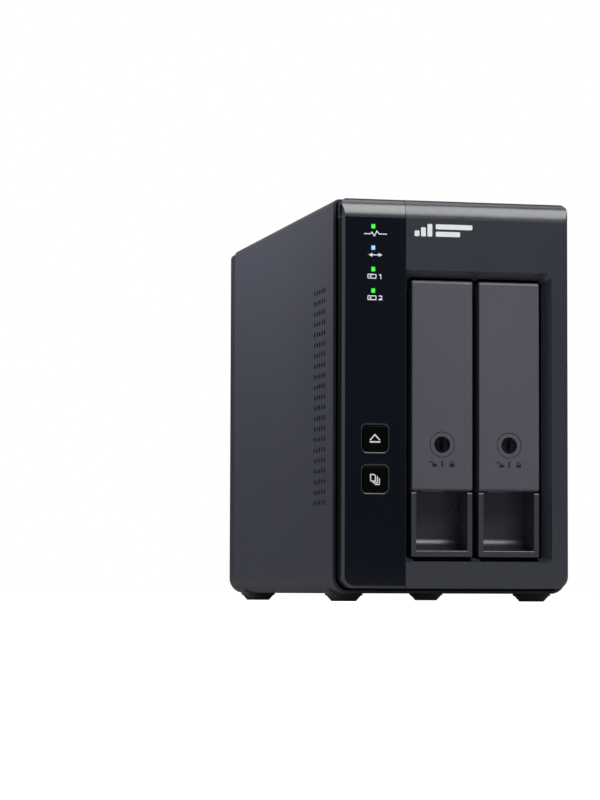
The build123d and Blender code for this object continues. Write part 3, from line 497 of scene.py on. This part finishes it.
def finish_of(name, kind, colour, bump=0.05, depth=0.1, metal=0.0, gloss=0.5, **values):
    """A material from one shader group, with its own values."""
    found = bpy.data.materials.get(name)
    if found:
        return found
    material = bpy.data.materials.new(name)
    material.use_nodes = True
    tree = material.node_tree
    shader = tree.nodes["Principled BSDF"]
    shader.inputs["Metallic"].default_value = metal
    shader.inputs["Specular IOR Level"].default_value = gloss
    effect = tree.nodes.new("ShaderNodeGroup")
    effect.node_tree = group_of(kind)
    effect.inputs["Colour"].default_value = (*colour, 1)
    for key, value in values.items():
        effect.inputs[key.replace("_", " ")].default_value = value
    tree.links.new(effect.outputs["Colour"], shader.inputs["Base Color"])
    tree.links.new(effect.outputs["Roughness"], shader.inputs["Roughness"])
    relief = tree.nodes.new("ShaderNodeBump")
    relief.inputs["Strength"].default_value = bump
    relief.inputs["Distance"].default_value = depth * MM
    tree.links.new(effect.outputs["Height"], relief.inputs["Height"])
    tree.links.new(relief.outputs["Normal"], shader.inputs["Normal"])
    return material


def paint_bevel_highlight(material, colour):
    """Paints a paler colour on the slanted edges of a face that looks forward: a painted highlight
    on the bevels.
    """
    tree = material.node_tree
    shader = tree.nodes["Principled BSDF"]
    face = shader.inputs["Base Color"].links[0].from_socket
    place = tree.nodes.new("ShaderNodeTexCoord")
    apart = tree.nodes.new("ShaderNodeSeparateXYZ")
    tree.links.new(place.outputs["Normal"], apart.inputs[0])
    least, most = BEVEL_NORMALS
    highlight_mask = maths(tree, "LESS_THAN", apart.outputs["Y"], most)
    highlight_mask = maths(tree, "MULTIPLY", highlight_mask, maths(tree, "GREATER_THAN", apart.outputs["Y"], least))
    mix = tree.nodes.new("ShaderNodeMix")
    mix.data_type = "RGBA"
    tree.links.new(highlight_mask, mix.inputs["Factor"])
    tree.links.new(face, mix.inputs[6])
    mix.inputs[7].default_value = (*colour, 1)
    tree.links.new(mix.outputs[2], shader.inputs["Base Color"])


def lit_finish(node, colour, core):
    """The glow of one lamp window."""
    material = bpy.data.materials.new("lit " + node)
    material.use_nodes = True
    tree = material.node_tree
    shader = tree.nodes["Principled BSDF"]
    shader.inputs["Roughness"].default_value = 0.25
    shader.inputs["Emission Strength"].default_value = 0.8
    effect = tree.nodes.new("ShaderNodeGroup")
    effect.node_tree = group_of("lamp")
    effect.inputs["Colour"].default_value = (*colour, 1)
    effect.inputs["Core"].default_value = (*core, 1)
    effect.inputs["Centre"].default_value = front_of(node)
    tree.links.new(effect.outputs["Colour"], shader.inputs["Base Color"])
    tree.links.new(effect.outputs["Colour"], shader.inputs["Emission Color"])
    return material


def coat(material, *nodes):
    """Puts a material on CAD nodes."""
    for name in nodes:
        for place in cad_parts[name].material_slots:
            place.material = material


def both(*names):
    """The names of the nodes of both trays."""
    return [name.replace("#", number) for number in TRAYS for name in names]


def white_print():
    """The white ink of the printed marks."""
    colours = bpy.context.scene.enclosure_colours
    return finish_of(
        "white ink", "grain", colours.white, bump=0.1, depth=0.02, Grain=4000.0, Speckle=0.06,
        Drift=0.03, Rough=0.45)


def screw_steel():
    """The blackened steel of the screws at the rear."""
    return finish_of(
        "blackened screw", "brushed", (0.16, 0.16, 0.17), metal=1.0, bump=0.1,
        Lines=(2500.0, 2500.0, 2500.0), Rough=0.36)


def dark_ink_and_shade():
    """The dark colour of the lock symbols' ink, also laid on the screw heads as painted shade."""
    colours = bpy.context.scene.enclosure_colours
    return finish_of(
        "dark ink and recess shade", "grain", colours.dark, bump=0.1, depth=0.02, Grain=4000.0, Speckle=0.1,
        Rough=0.4)


# ------------------------------------------------------------------ operators
class ENCLOSURE_OT_shell(bpy.types.Operator):
    """Finish the cover, the bezel, the rear frame and the feet"""
    bl_idname = "enclosure.shell"
    bl_label = "Finish the shell"

    def execute(self, context):
        colours = context.scene.enclosure_colours
        coat(finish_of(
            "powder coat", "grain", colours.cover, bump=0.22, depth=0.05, gloss=0.14, Grain=2600.0,
            Speckle=0.16, Drift=0.10, Rough=0.54, Rough_Spread=0.12), "outer_cover")
        coat(finish_of(
            "bezel moulding", "grain", colours.bezel, bump=0.14, depth=0.04, gloss=0.85,
            Grain=3400.0, Speckle=0.14, Drift=0.06, Rough=0.25, Rough_Spread=0.10), "front_bezel")
        coat(finish_of(
            "rear moulding", "grain", colours.rear, bump=0.3, depth=0.06, Grain=2400.0,
            Speckle=0.2, Drift=0.1, Rough=0.55, Rough_Spread=0.1), "rear_frame")
        coat(finish_of(
            "painted rear panel", "grain", colours.cover, bump=0.2, depth=0.05, Grain=2600.0,
            Speckle=0.16, Drift=0.12, Rough=0.5, Rough_Spread=0.12), "rear_panel")
        coat(finish_of(
            "foot rubber", "grain", (0.048, 0.049, 0.058), bump=0.5, depth=0.15, Grain=1500.0,
            Speckle=0.35, Drift=0.3, Rough=0.82, Rough_Spread=0.2),
            "foot_front_left", "foot_front_right", "foot_rear_left", "foot_rear_right")
        return {"FINISHED"}


class ENCLOSURE_OT_controls(bpy.types.Operator):
    """Finish the control column, its gloss panel, keys and lamps"""
    bl_idname = "enclosure.controls"
    bl_label = "Finish the controls"

    def execute(self, context):
        colours = context.scene.enclosure_colours
        coat(finish_of(
            "column moulding", "grain", (0.004, 0.0045, 0.007), bump=0.12, depth=0.04,
            Grain=3200.0, Speckle=0.15, Drift=0.08, Rough=0.4, Rough_Spread=0.1, gloss=0.06),
            "control_column")
        coat(finish_of(
            "column cap", "grain", colours.bezel, bump=0.14, depth=0.04, gloss=0.95, Grain=3400.0,
            Speckle=0.14, Drift=0.06, Rough=0.23, Rough_Spread=0.10), "column_cap")
        panel = finish_of(
            "gloss panel", "grain", colours.gloss, bump=0.01, depth=0.02, Grain=900.0,
            Speckle=0.04, Drift=0.25, Rough=0.09, Rough_Spread=0.04)
        # the panel's bevels and key rims get a painted highlight, a paler colour in place of their
        # reflection
        paint_bevel_highlight(panel, colours.bevel_highlight)
        coat(panel, "control_panel")
        coat(finish_of(
            "key plastic", "grain", colours.key, bump=0.06, depth=0.03, Grain=3600.0,
            Speckle=0.2, Rough=0.34, Rough_Spread=0.1, gloss=0.08), "copy_button", "eject_button")
        core = (0.10, 0.80, 0.10)
        for name in ("status_light", "drive_light_1", "drive_light_2"):
            coat(lit_finish(name, colours.green, core), name)
        coat(lit_finish("link_light", colours.blue, (0.4, 0.68, 1.0)), "link_light")
        return {"FINISHED"}


class ENCLOSURE_OT_trays(bpy.types.Operator):
    """Finish the drive trays, levers, locks and drives"""
    bl_idname = "enclosure.trays"
    bl_label = "Finish the trays"

    def execute(self, context):
        colours = context.scene.enclosure_colours
        coat(finish_of(
            "tray moulding", "grain", colours.tray, bump=0.45, depth=0.06, Grain=1500.0,
            Speckle=0.5, Drift=0.08, Rough=0.36, Rough_Spread=0.16),
            *both("lever_#", "lock_#_ring"))
        # the fascia colour is partly painted shade: darker so that the frames and pockets under
        # the levers look shaded
        coat(finish_of(
            "fascia moulding", "grain", colours.fascia, bump=0.3, depth=0.05, gloss=0.7,
            Grain=2300.0, Speckle=0.22, Drift=0.08, Rough=0.27, Rough_Spread=0.12),
            *both("tray_#_fascia"))
        coat(finish_of(
            "rail moulding", "grain", (0.025, 0.026, 0.030), bump=0.25, depth=0.05,
            Grain=2500.0, Speckle=0.2, Drift=0.1, Rough=0.5, Rough_Spread=0.1),
            *both("tray_#_upper_rail", "tray_#_lower_rail"))
        coat(finish_of(
            "lock metal", "brushed", (0.026, 0.026, 0.031), metal=0.75, bump=0.2,
            Lines=(900.0, 900.0, 5000.0), Streak=0.7, Stain=0.6, Rough=0.24),
            *both("lock_#_core"))
        coat(finish_of(
            "cast drive body", "grain", (0.30, 0.31, 0.32), metal=0.9, bump=0.35, depth=0.1,
            Grain=1800.0, Speckle=0.22, Drift=0.2, Rough=0.45, Rough_Spread=0.2),
            *both("drive_#_base"))
        coat(finish_of(
            "drive lid steel", "brushed", (0.52, 0.53, 0.54), metal=1.0, bump=0.15,
            Lines=(3000.0, 60.0, 3000.0), Streak=0.2, Stain=0.12, Rough=0.32),
            *both("drive_#_lid"))
        coat(finish_of(
            "drive board", "board", (0.004, 0.05, 0.10), bump=0.4, depth=0.05,
            Track=(0.012, 0.10, 0.18, 1)), *both("drive_#_board"))
        coat(finish_of(
            "connector black", "grain", (0.010, 0.010, 0.011), bump=0.2, Grain=2600.0,
            Speckle=0.2, Rough=0.4), *both("drive_#_socket"))
        coat(finish_of(
            "turned pin", "brushed", (0.55, 0.55, 0.56), metal=1.0, bump=0.15,
            Lines=(60.0, 4000.0, 4000.0), Rough=0.28), *both("lever_#_pin"))
        return {"FINISHED"}


class ENCLOSURE_OT_inside(bpy.types.Operator):
    """Finish the cage, the boards and the fittings at the rear"""
    bl_idname = "enclosure.inside"
    bl_label = "Finish the inside"

    def execute(self, context):
        colours = context.scene.enclosure_colours
        # painted shade: the cage and the chassis floor are near black so that the gaps between and
        # under the trays look dark
        coat(finish_of(
            "sheet darkened as painted shade", "brushed", (0.010, 0.010, 0.011), metal=0.3, bump=0.12,
            Lines=(2500.0, 50.0, 2500.0), Streak=0.3, Stain=0.35, Rough=0.5),
            "drive_cage", "chassis_floor")
        coat(finish_of(
            "main board lacquer", "board", (0.002, 0.022, 0.009), bump=0.4, depth=0.05,
            Track=(0.006, 0.05, 0.022, 1), Pad=(0.28, 0.25, 0.17, 1)),
            "main_board", "backplane", "front_board")
        coat(finish_of(
            "brass post", "brushed", (0.55, 0.42, 0.18), metal=1.0, bump=0.1, Rough=0.3),
            "board_posts")
        coat(finish_of(
            "chip epoxy", "grain", (0.012, 0.012, 0.013), bump=0.2, Grain=3000.0,
            Speckle=0.2, Rough=0.55), "bridge_chip", "front_switches", "mode_block")
        coat(finish_of(
            "anodised sink", "brushed", (0.035, 0.036, 0.040), metal=0.8, bump=0.15,
            Lines=(3000.0, 60.0, 3000.0), Rough=0.4), "heat_sink")
        coat(finish_of(
            "can aluminium", "brushed", (0.6, 0.6, 0.62), metal=1.0, bump=0.1, Rough=0.3),
            "board_capacitors")
        coat(finish_of(
            "fan moulding", "grain", (0.013, 0.013, 0.015), bump=0.15, depth=0.04,
            Grain=2600.0, Speckle=0.2, Drift=0.1, Rough=0.38, Rough_Spread=0.1),
            "fan_frame", "fan_rotor")
        coat(finish_of(
            "guard wire", "brushed", (0.42, 0.43, 0.45), metal=1.0, bump=0.08,
            Lines=(700.0, 700.0, 700.0), Streak=0.2, Stain=0.2, Rough=0.2), "fan_grille")
        coat(screw_steel(), "fan_screws")
        coat(finish_of(
            "nickel socket", "brushed", (0.58, 0.57, 0.55), metal=1.0, bump=0.08,
            Lines=(2500.0, 80.0, 2500.0), Rough=0.24), "usb_socket")
        coat(finish_of(
            "socket moulding", "grain", (0.010, 0.010, 0.011), bump=0.15, Grain=2600.0,
            Speckle=0.2, Rough=0.42), "power_jack")
        coat(finish_of(
            "power key", "grain", colours.rear, bump=0.1, Grain=3000.0, Speckle=0.2,
            Rough=0.36), "power_button")
        coat(finish_of(
            "slider white", "grain", (0.72, 0.73, 0.74), bump=0.1, Grain=3000.0, Speckle=0.08,
            Drift=0.05, Rough=0.42), "mode_slider_1", "mode_slider_2")
        return {"FINISHED"}


class ENCLOSURE_OT_captions(bpy.types.Operator):
    """Print a plain sign under each lamp and the emblem on the bezel"""
    bl_idname = "enclosure.captions"
    bl_label = "Print the front marks"

    def caption(self, marks, node, draw):
        """One caption under a lamp, as its own piece."""
        target = bmesh.new()
        draw(target, marks.stroke, marks.lift)
        point = front_of("eject_button")
        point.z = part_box(node)[0].z - marks.drop
        point.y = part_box("control_panel")[0].y
        settle(
            target, "caption_" + node, facing(point, FRONT), "base", white_print())

    def pulse(self, target, width, lift):
        """An activity line."""
        stroke(target, PULSE, width, lift)

    def link(self, target, width, lift):
        """Two arrows that point apart."""
        double_arrow(target, (0, 0), 1.6, 1.9, 1.15, width, lift)

    def disc_sign(self, target, width, lift):
        """A small drive: an outline with a round platter."""
        tablet(target, (-1.5 * MM, 0), (3.9 * MM, 2.0 * MM), 0.35 * MM, lift, hollow=width)
        polygon(target, (-2.1 * MM, 0), 0.42 * MM, 16, lift)

    def one(self, target, width, lift):
        """Drive 1."""
        self.disc_sign(target, width, lift)
        stroke(target, ONE, width, lift)

    def two(self, target, width, lift):
        """Drive 2."""
        self.disc_sign(target, width, lift)
        stroke(target, TWO, width, lift)

    def emblem(self, marks):
        """Three upright bars that grow, then two lying bars."""
        low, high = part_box("front_bezel")
        target = bmesh.new()
        wide, tall = marks.emblem_width, marks.emblem_height
        unit = wide / EMBLEM_UNITS
        for x, h in EMBLEM_UPRIGHT:
            tablet(
                target, (x * unit, (h - 1) * tall / 2), (2.1 * unit, h * tall), 0.4 * unit,
                marks.lift)
        for x, w, z in EMBLEM_LYING:
            tablet(target, (x * unit, z * tall), (w * unit, 0.4 * tall), 0.5 * unit, marks.lift)
        point = Vector((
            low.x + marks.emblem_inset + wide / 2, low.y, high.z - marks.emblem_top - tall / 2))
        settle(
            target, "bezel_emblem", facing(point, FRONT), "base", white_print())

    def execute(self, context):
        marks = context.scene.enclosure_marks
        signs = (
            ("status_light", self.pulse), ("link_light", self.link), ("drive_light_1", self.one),
            ("drive_light_2", self.two))
        for node, draw in signs:
            self.caption(marks, node, draw)
        self.emblem(marks)
        return {"FINISHED"}


class ENCLOSURE_OT_key_symbols(bpy.types.Operator):
    """Print the eject and copy symbols on the keys"""
    bl_idname = "enclosure.key_symbols"
    bl_label = "Print the key symbols"

    def execute(self, context):
        marks = context.scene.enclosure_marks
        lift, width = marks.lift, marks.key_stroke
        target = bmesh.new()
        stroke(target, ROOF, width, lift)
        tablet(target, (0, -1.45 * MM), (4.5 * MM, 0.6 * MM), 0.05 * MM, lift)
        place = facing(front_of("eject_button"), FRONT)
        settle(target, "eject_symbol", place, "eject_button", white_print())
        target = bmesh.new()
        stroke(target, PAGE, width * 0.9, lift, closed=True)
        for behind in PAGES_BEHIND:
            stroke(target, behind, width * 0.9, lift * OVER)
        place = facing(front_of("copy_button"), FRONT)
        settle(target, "copy_symbol", place, "copy_button", white_print())
        return {"FINISHED"}


class ENCLOSURE_OT_lock_symbols(bpy.types.Operator):
    """Print the open and shut padlock under each lock"""
    bl_idname = "enclosure.lock_symbols"
    bl_label = "Print the lock symbols"

    def padlock(self, target, x, shackle, width, lift):
        """A padlock whose shackle stands over its body or beside it."""
        tablet(target, (x, -0.62 * MM), (2.1 * MM, 1.25 * MM), 0.15 * MM, lift)
        radius = 0.72 * MM
        arc(target, (x + shackle, 0.25 * MM), radius, width, 0.0, math.pi, lift)
        for side in (1,) if shackle else (-1, 1):
            foot = x + shackle + side * radius
            stroke(target, ((0, 0.3), (0, -0.1)), width, lift * OVER, (foot, 0))

    def execute(self, context):
        marks = context.scene.enclosure_marks
        for number in TRAYS:
            target = bmesh.new()
            self.padlock(target, -3.35 * MM, -1.45 * MM, marks.lock_stroke, marks.lift)
            stroke(target, ((0, 1.15), (0, -1.25)), marks.lock_stroke * 1.5, marks.lift)
            self.padlock(target, 4.15 * MM, 0.0, marks.lock_stroke, marks.lift)
            point = middle("lock_" + number + "_ring")
            point.z -= marks.lock_drop
            point.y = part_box("lever_" + number)[0].y
            settle(
                target, "lock_symbols_" + number, facing(point, FRONT), "lever_" + number,
                dark_ink_and_shade())
        return {"FINISHED"}


class ENCLOSURE_OT_rear_fittings(bpy.types.Operator):
    """Add the rear panel's screws and the plain signs by its sockets"""
    bl_idname = "enclosure.rear_fittings"
    bl_label = "Fit the rear"

    def screw(self, target, x, z):
        """A pan-head screw, drawn on the panel."""
        turned(target, (x, z, 0), [(r * MM, h * MM) for r, h in SCREW_HEAD])

    def painted_recess_shade(self, target, x, z):
        """A dark cross on a screw's head: painted shade standing in for its hollow."""
        for angle in (0.35, 0.35 + math.pi / 2):
            reach = Vector((math.cos(angle), math.sin(angle))) * 1.15
            stroke(target, (-reach, reach), 0.5 * MM, 0.93 * MM, (x, z))

    def execute(self, context):
        marks = context.scene.enclosure_marks
        low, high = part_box("rear_panel")
        place = facing(back_of("rear_panel"), (0, 1, 0))
        inset = 5.5 * MM
        reach_x = (high.x - low.x) / 2 - inset
        reach_z = (high.z - low.z) / 2 - inset
        heads, crosses = bmesh.new(), bmesh.new()
        for side in (-1, 1):
            for level in (-1, 1):
                self.screw(heads, side * reach_x, level * reach_z)
                self.painted_recess_shade(crosses, side * reach_x, level * reach_z)
        settle(heads, "panel_screws", place, "base", screw_steel(), smooth=True)
        # the dark crosses are painted shade for the screws' hollow recesses
        settle(crosses, "panel_screw_recess_shade", place, "base", dark_ink_and_shade())
        signs = bmesh.new()
        lift, width = marks.lift, 0.4 * MM
        inward = place.inverted()
        on = (inward @ middle("power_button")).xy + Vector((0, 9.2 * MM))
        arc(signs, on, 1.5 * MM, width, math.radians(120), math.radians(300), lift, steps=20)
        stroke(signs, ((0, 0.4), (0, 2.0)), width, lift * OVER, on)
        link = (inward @ middle("usb_socket")).xy + Vector((0, 8.0 * MM))
        double_arrow(signs, link, 1.4, 1.8, 0.95, width, lift)
        supply = (inward @ middle("power_jack")).xy + Vector((0, 9.0 * MM))
        stroke(signs, ((-2.2, 0.5), (2.2, 0.5)), width, lift, supply)
        for x in (-1.7, 0.0, 1.7):
            stroke(signs, ((x - 0.5, -0.5), (x + 0.5, -0.5)), width, lift, supply)
        settle(signs, "rear_signs", place, "base", white_print())
        return {"FINISHED"}


class ENCLOSURE_OT_drive_labels(bpy.types.Operator):
    """Stick a blank label on each drive"""
    bl_idname = "enclosure.drive_labels"
    bl_label = "Label the drives"

    def execute(self, context):
        paper = finish_of(
            "label paper", "grain", (0.66, 0.67, 0.68), bump=0.08, depth=0.02, Grain=2500.0,
            Speckle=0.06, Drift=0.05, Rough=0.55)
        for number in TRAYS:
            low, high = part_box("drive_" + number + "_lid")
            deep, tall = high.y - low.y, high.z - low.z
            target = bmesh.new()
            tablet(target, (-deep * 0.08, 0), (deep * 0.52, tall * 0.66), 1.5 * MM, 0.06 * MM)
            point = (low + high) / 2
            outward = 1 if point.x > middle("drive_" + number + "_base").x else -1
            point.x = high.x if outward > 0 else low.x
            settle(
                target, "drive_label_" + number, facing(point, (outward, 0, 0)), "tray_" + number,
                paper)
        return {"FINISHED"}


class ENCLOSURE_OT_stage(bpy.types.Operator):
    """Set the floor, the soft lamps, the room and the camera"""
    bl_idname = "enclosure.stage"
    bl_label = "Set the stage"

    def softbox(self, name, place, aim, size, watts):
        """A large area lamp that faces a point."""
        data = bpy.data.lights.new(name, "AREA")
        data.shape = "RECTANGLE"
        data.size, data.size_y = size
        data.energy = watts
        lamp = bpy.data.objects.new(name, data)
        bpy.context.scene.collection.objects.link(lamp)
        lamp.visible_camera = False
        lamp.location = place
        lamp.rotation_euler = (Vector(aim) - Vector(place)).to_track_quat("-Z", "Y").to_euler()

    def room(self, scene, level):
        """Pale behind the object, dimmer where it is only a reflection."""
        world = bpy.data.worlds.new("room")
        scene.world = world
        world.use_nodes = True
        tree = world.node_tree
        dim = tree.nodes["Background"]
        dim.inputs["Color"].default_value = (0.86, 0.93, 1.0, 1)
        place = tree.nodes.new("ShaderNodeTexCoord")
        apart = tree.nodes.new("ShaderNodeSeparateXYZ")
        tree.links.new(place.outputs["Generated"], apart.inputs[0])
        rise = spread(tree, apart.outputs["Z"], level, level * 5)
        tree.links.new(rise, dim.inputs["Strength"])
        pale = tree.nodes.new("ShaderNodeBackground")
        pale.inputs["Color"].default_value = (1, 1, 1, 1)
        ray = tree.nodes.new("ShaderNodeLightPath")
        mix = tree.nodes.new("ShaderNodeMixShader")
        tree.links.new(ray.outputs["Is Camera Ray"], mix.inputs[0])
        tree.links.new(dim.outputs[0], mix.inputs[1])
        tree.links.new(pale.outputs[0], mix.inputs[2])
        tree.links.new(mix.outputs[0], tree.nodes["World Output"].inputs["Surface"])

    def floor(self, scene, stage):
        """The pale floor, lit so that it stays white to the camera."""
        target = bmesh.new()
        bmesh.ops.create_grid(target, x_segments=1, y_segments=1, size=stage.floor / 2)
        mesh = bpy.data.meshes.new("floor")
        target.to_mesh(mesh)
        target.free()
        floor = bpy.data.objects.new("floor", mesh)
        scene.collection.objects.link(floor)
        material = bpy.data.materials.new("pale floor")
        material.use_nodes = True
        tree = material.node_tree
        shader = tree.nodes["Principled BSDF"]
        shader.inputs["Base Color"].default_value = (0.5, 0.5, 0.51, 1)
        shader.inputs["Roughness"].default_value = 0.6
        shader.inputs["Emission Color"].default_value = (1, 1, 1, 1)
        ray = tree.nodes.new("ShaderNodeLightPath")
        glow = maths(tree, "MULTIPLY", ray.outputs["Is Camera Ray"], stage.glow)
        glow = maths(tree, "ADD", glow, stage.bounce)
        tree.links.new(glow, shader.inputs["Emission Strength"])
        mesh.materials.append(material)

    def camera(self, scene, lens):
        """A long lens low on the left, a little turned."""
        data = bpy.data.cameras.new("camera")
        data.lens = lens
        data.sensor_width = 36.0
        data.clip_start = 0.01
        camera = bpy.data.objects.new("camera", data)
        scene.collection.objects.link(camera)
        camera.location = CAMERA_PLACE
        level = math.cos(CAMERA_PITCH)
        forward = Vector((
            math.sin(CAMERA_YAW) * level, math.cos(CAMERA_YAW) * level, math.sin(CAMERA_PITCH)))
        aimed = forward.to_track_quat("-Z", "Y").to_matrix()
        camera.rotation_euler = (aimed @ Matrix.Rotation(CAMERA_ROLL, 3, "Z")).to_euler()
        scene.camera = camera

    def execute(self, context):
        scene, stage = context.scene, context.scene.enclosure_stage
        self.floor(scene, stage)
        aim = middle("outer_cover")
        lamps = (
            ("front softbox", (0.22, -0.60, 0.66), aim, (0.5, 0.55), stage.front),
            ("top softbox", (0.1, -0.1, 0.9), aim, (0.5, 0.3), stage.top),
            ("left softbox", (-0.25, 0.06, 0.39), (0.05, 0.06, 0.37), (0.16, 0.34), stage.left),
            ("high softbox", (-0.42, -0.12, 0.62), aim, (0.12, 0.12), stage.high),
            ("left strip", (-1.1, -0.37, 0.17), aim, (0.22, 0.42), stage.strip),
            ("low softbox", (-0.12, -1.15, 0.05), aim, (0.36, 0.08), stage.low))
        for lamp in lamps:
            self.softbox(*lamp)
        self.room(scene, stage.room)
        self.camera(scene, stage.lens)
        scene.view_settings.view_transform = "Standard"
        return {"FINISHED"}


OPERATORS = (
    ENCLOSURE_OT_shell, ENCLOSURE_OT_controls, ENCLOSURE_OT_trays, ENCLOSURE_OT_inside,
    ENCLOSURE_OT_captions, ENCLOSURE_OT_key_symbols, ENCLOSURE_OT_lock_symbols,
    ENCLOSURE_OT_rear_fittings, ENCLOSURE_OT_drive_labels, ENCLOSURE_OT_stage)


class ENCLOSURE_PT_panel(bpy.types.Panel):
    """The enclosure's pieces and settings"""
    bl_label = "Drive enclosure"
    bl_idname = "ENCLOSURE_PT_panel"
    bl_space_type = "VIEW_3D"
    bl_region_type = "UI"
    bl_category = "Enclosure"

    def draw(self, context):
        for settings in ("enclosure_colours", "enclosure_marks", "enclosure_stage"):
            group = getattr(context.scene, settings)
            box = self.layout.box()
            for name in group.__annotations__:
                box.prop(group, name)
        for operator in OPERATORS:
            self.layout.operator(operator.bl_idname)


SETTINGS = (
    ("enclosure_colours", EnclosureColours), ("enclosure_marks", EnclosureMarks),
    ("enclosure_stage", EnclosureStage))


def register():
    """Registers the settings, the operators and the panel."""
    for name, group in SETTINGS:
        bpy.utils.register_class(group)
        setattr(bpy.types.Scene, name, PointerProperty(type=group))
    for kind in OPERATORS + (ENCLOSURE_PT_panel,):
        bpy.utils.register_class(kind)


def unregister():
    """Takes them all away again."""
    for kind in reversed(OPERATORS + (ENCLOSURE_PT_panel,)):
        bpy.utils.unregister_class(kind)
    for name, group in SETTINGS:
        delattr(bpy.types.Scene, name)
        bpy.utils.unregister_class(group)


def main():
    """Builds every piece."""
    register()
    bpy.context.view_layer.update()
    for operator in OPERATORS:
        area, name = operator.bl_idname.split(".")
        if getattr(getattr(bpy.ops, area), name)() != {"FINISHED"}:
            raise RuntimeError(operator.bl_label + " didn't finish")


if __name__ == "__main__":
    main()
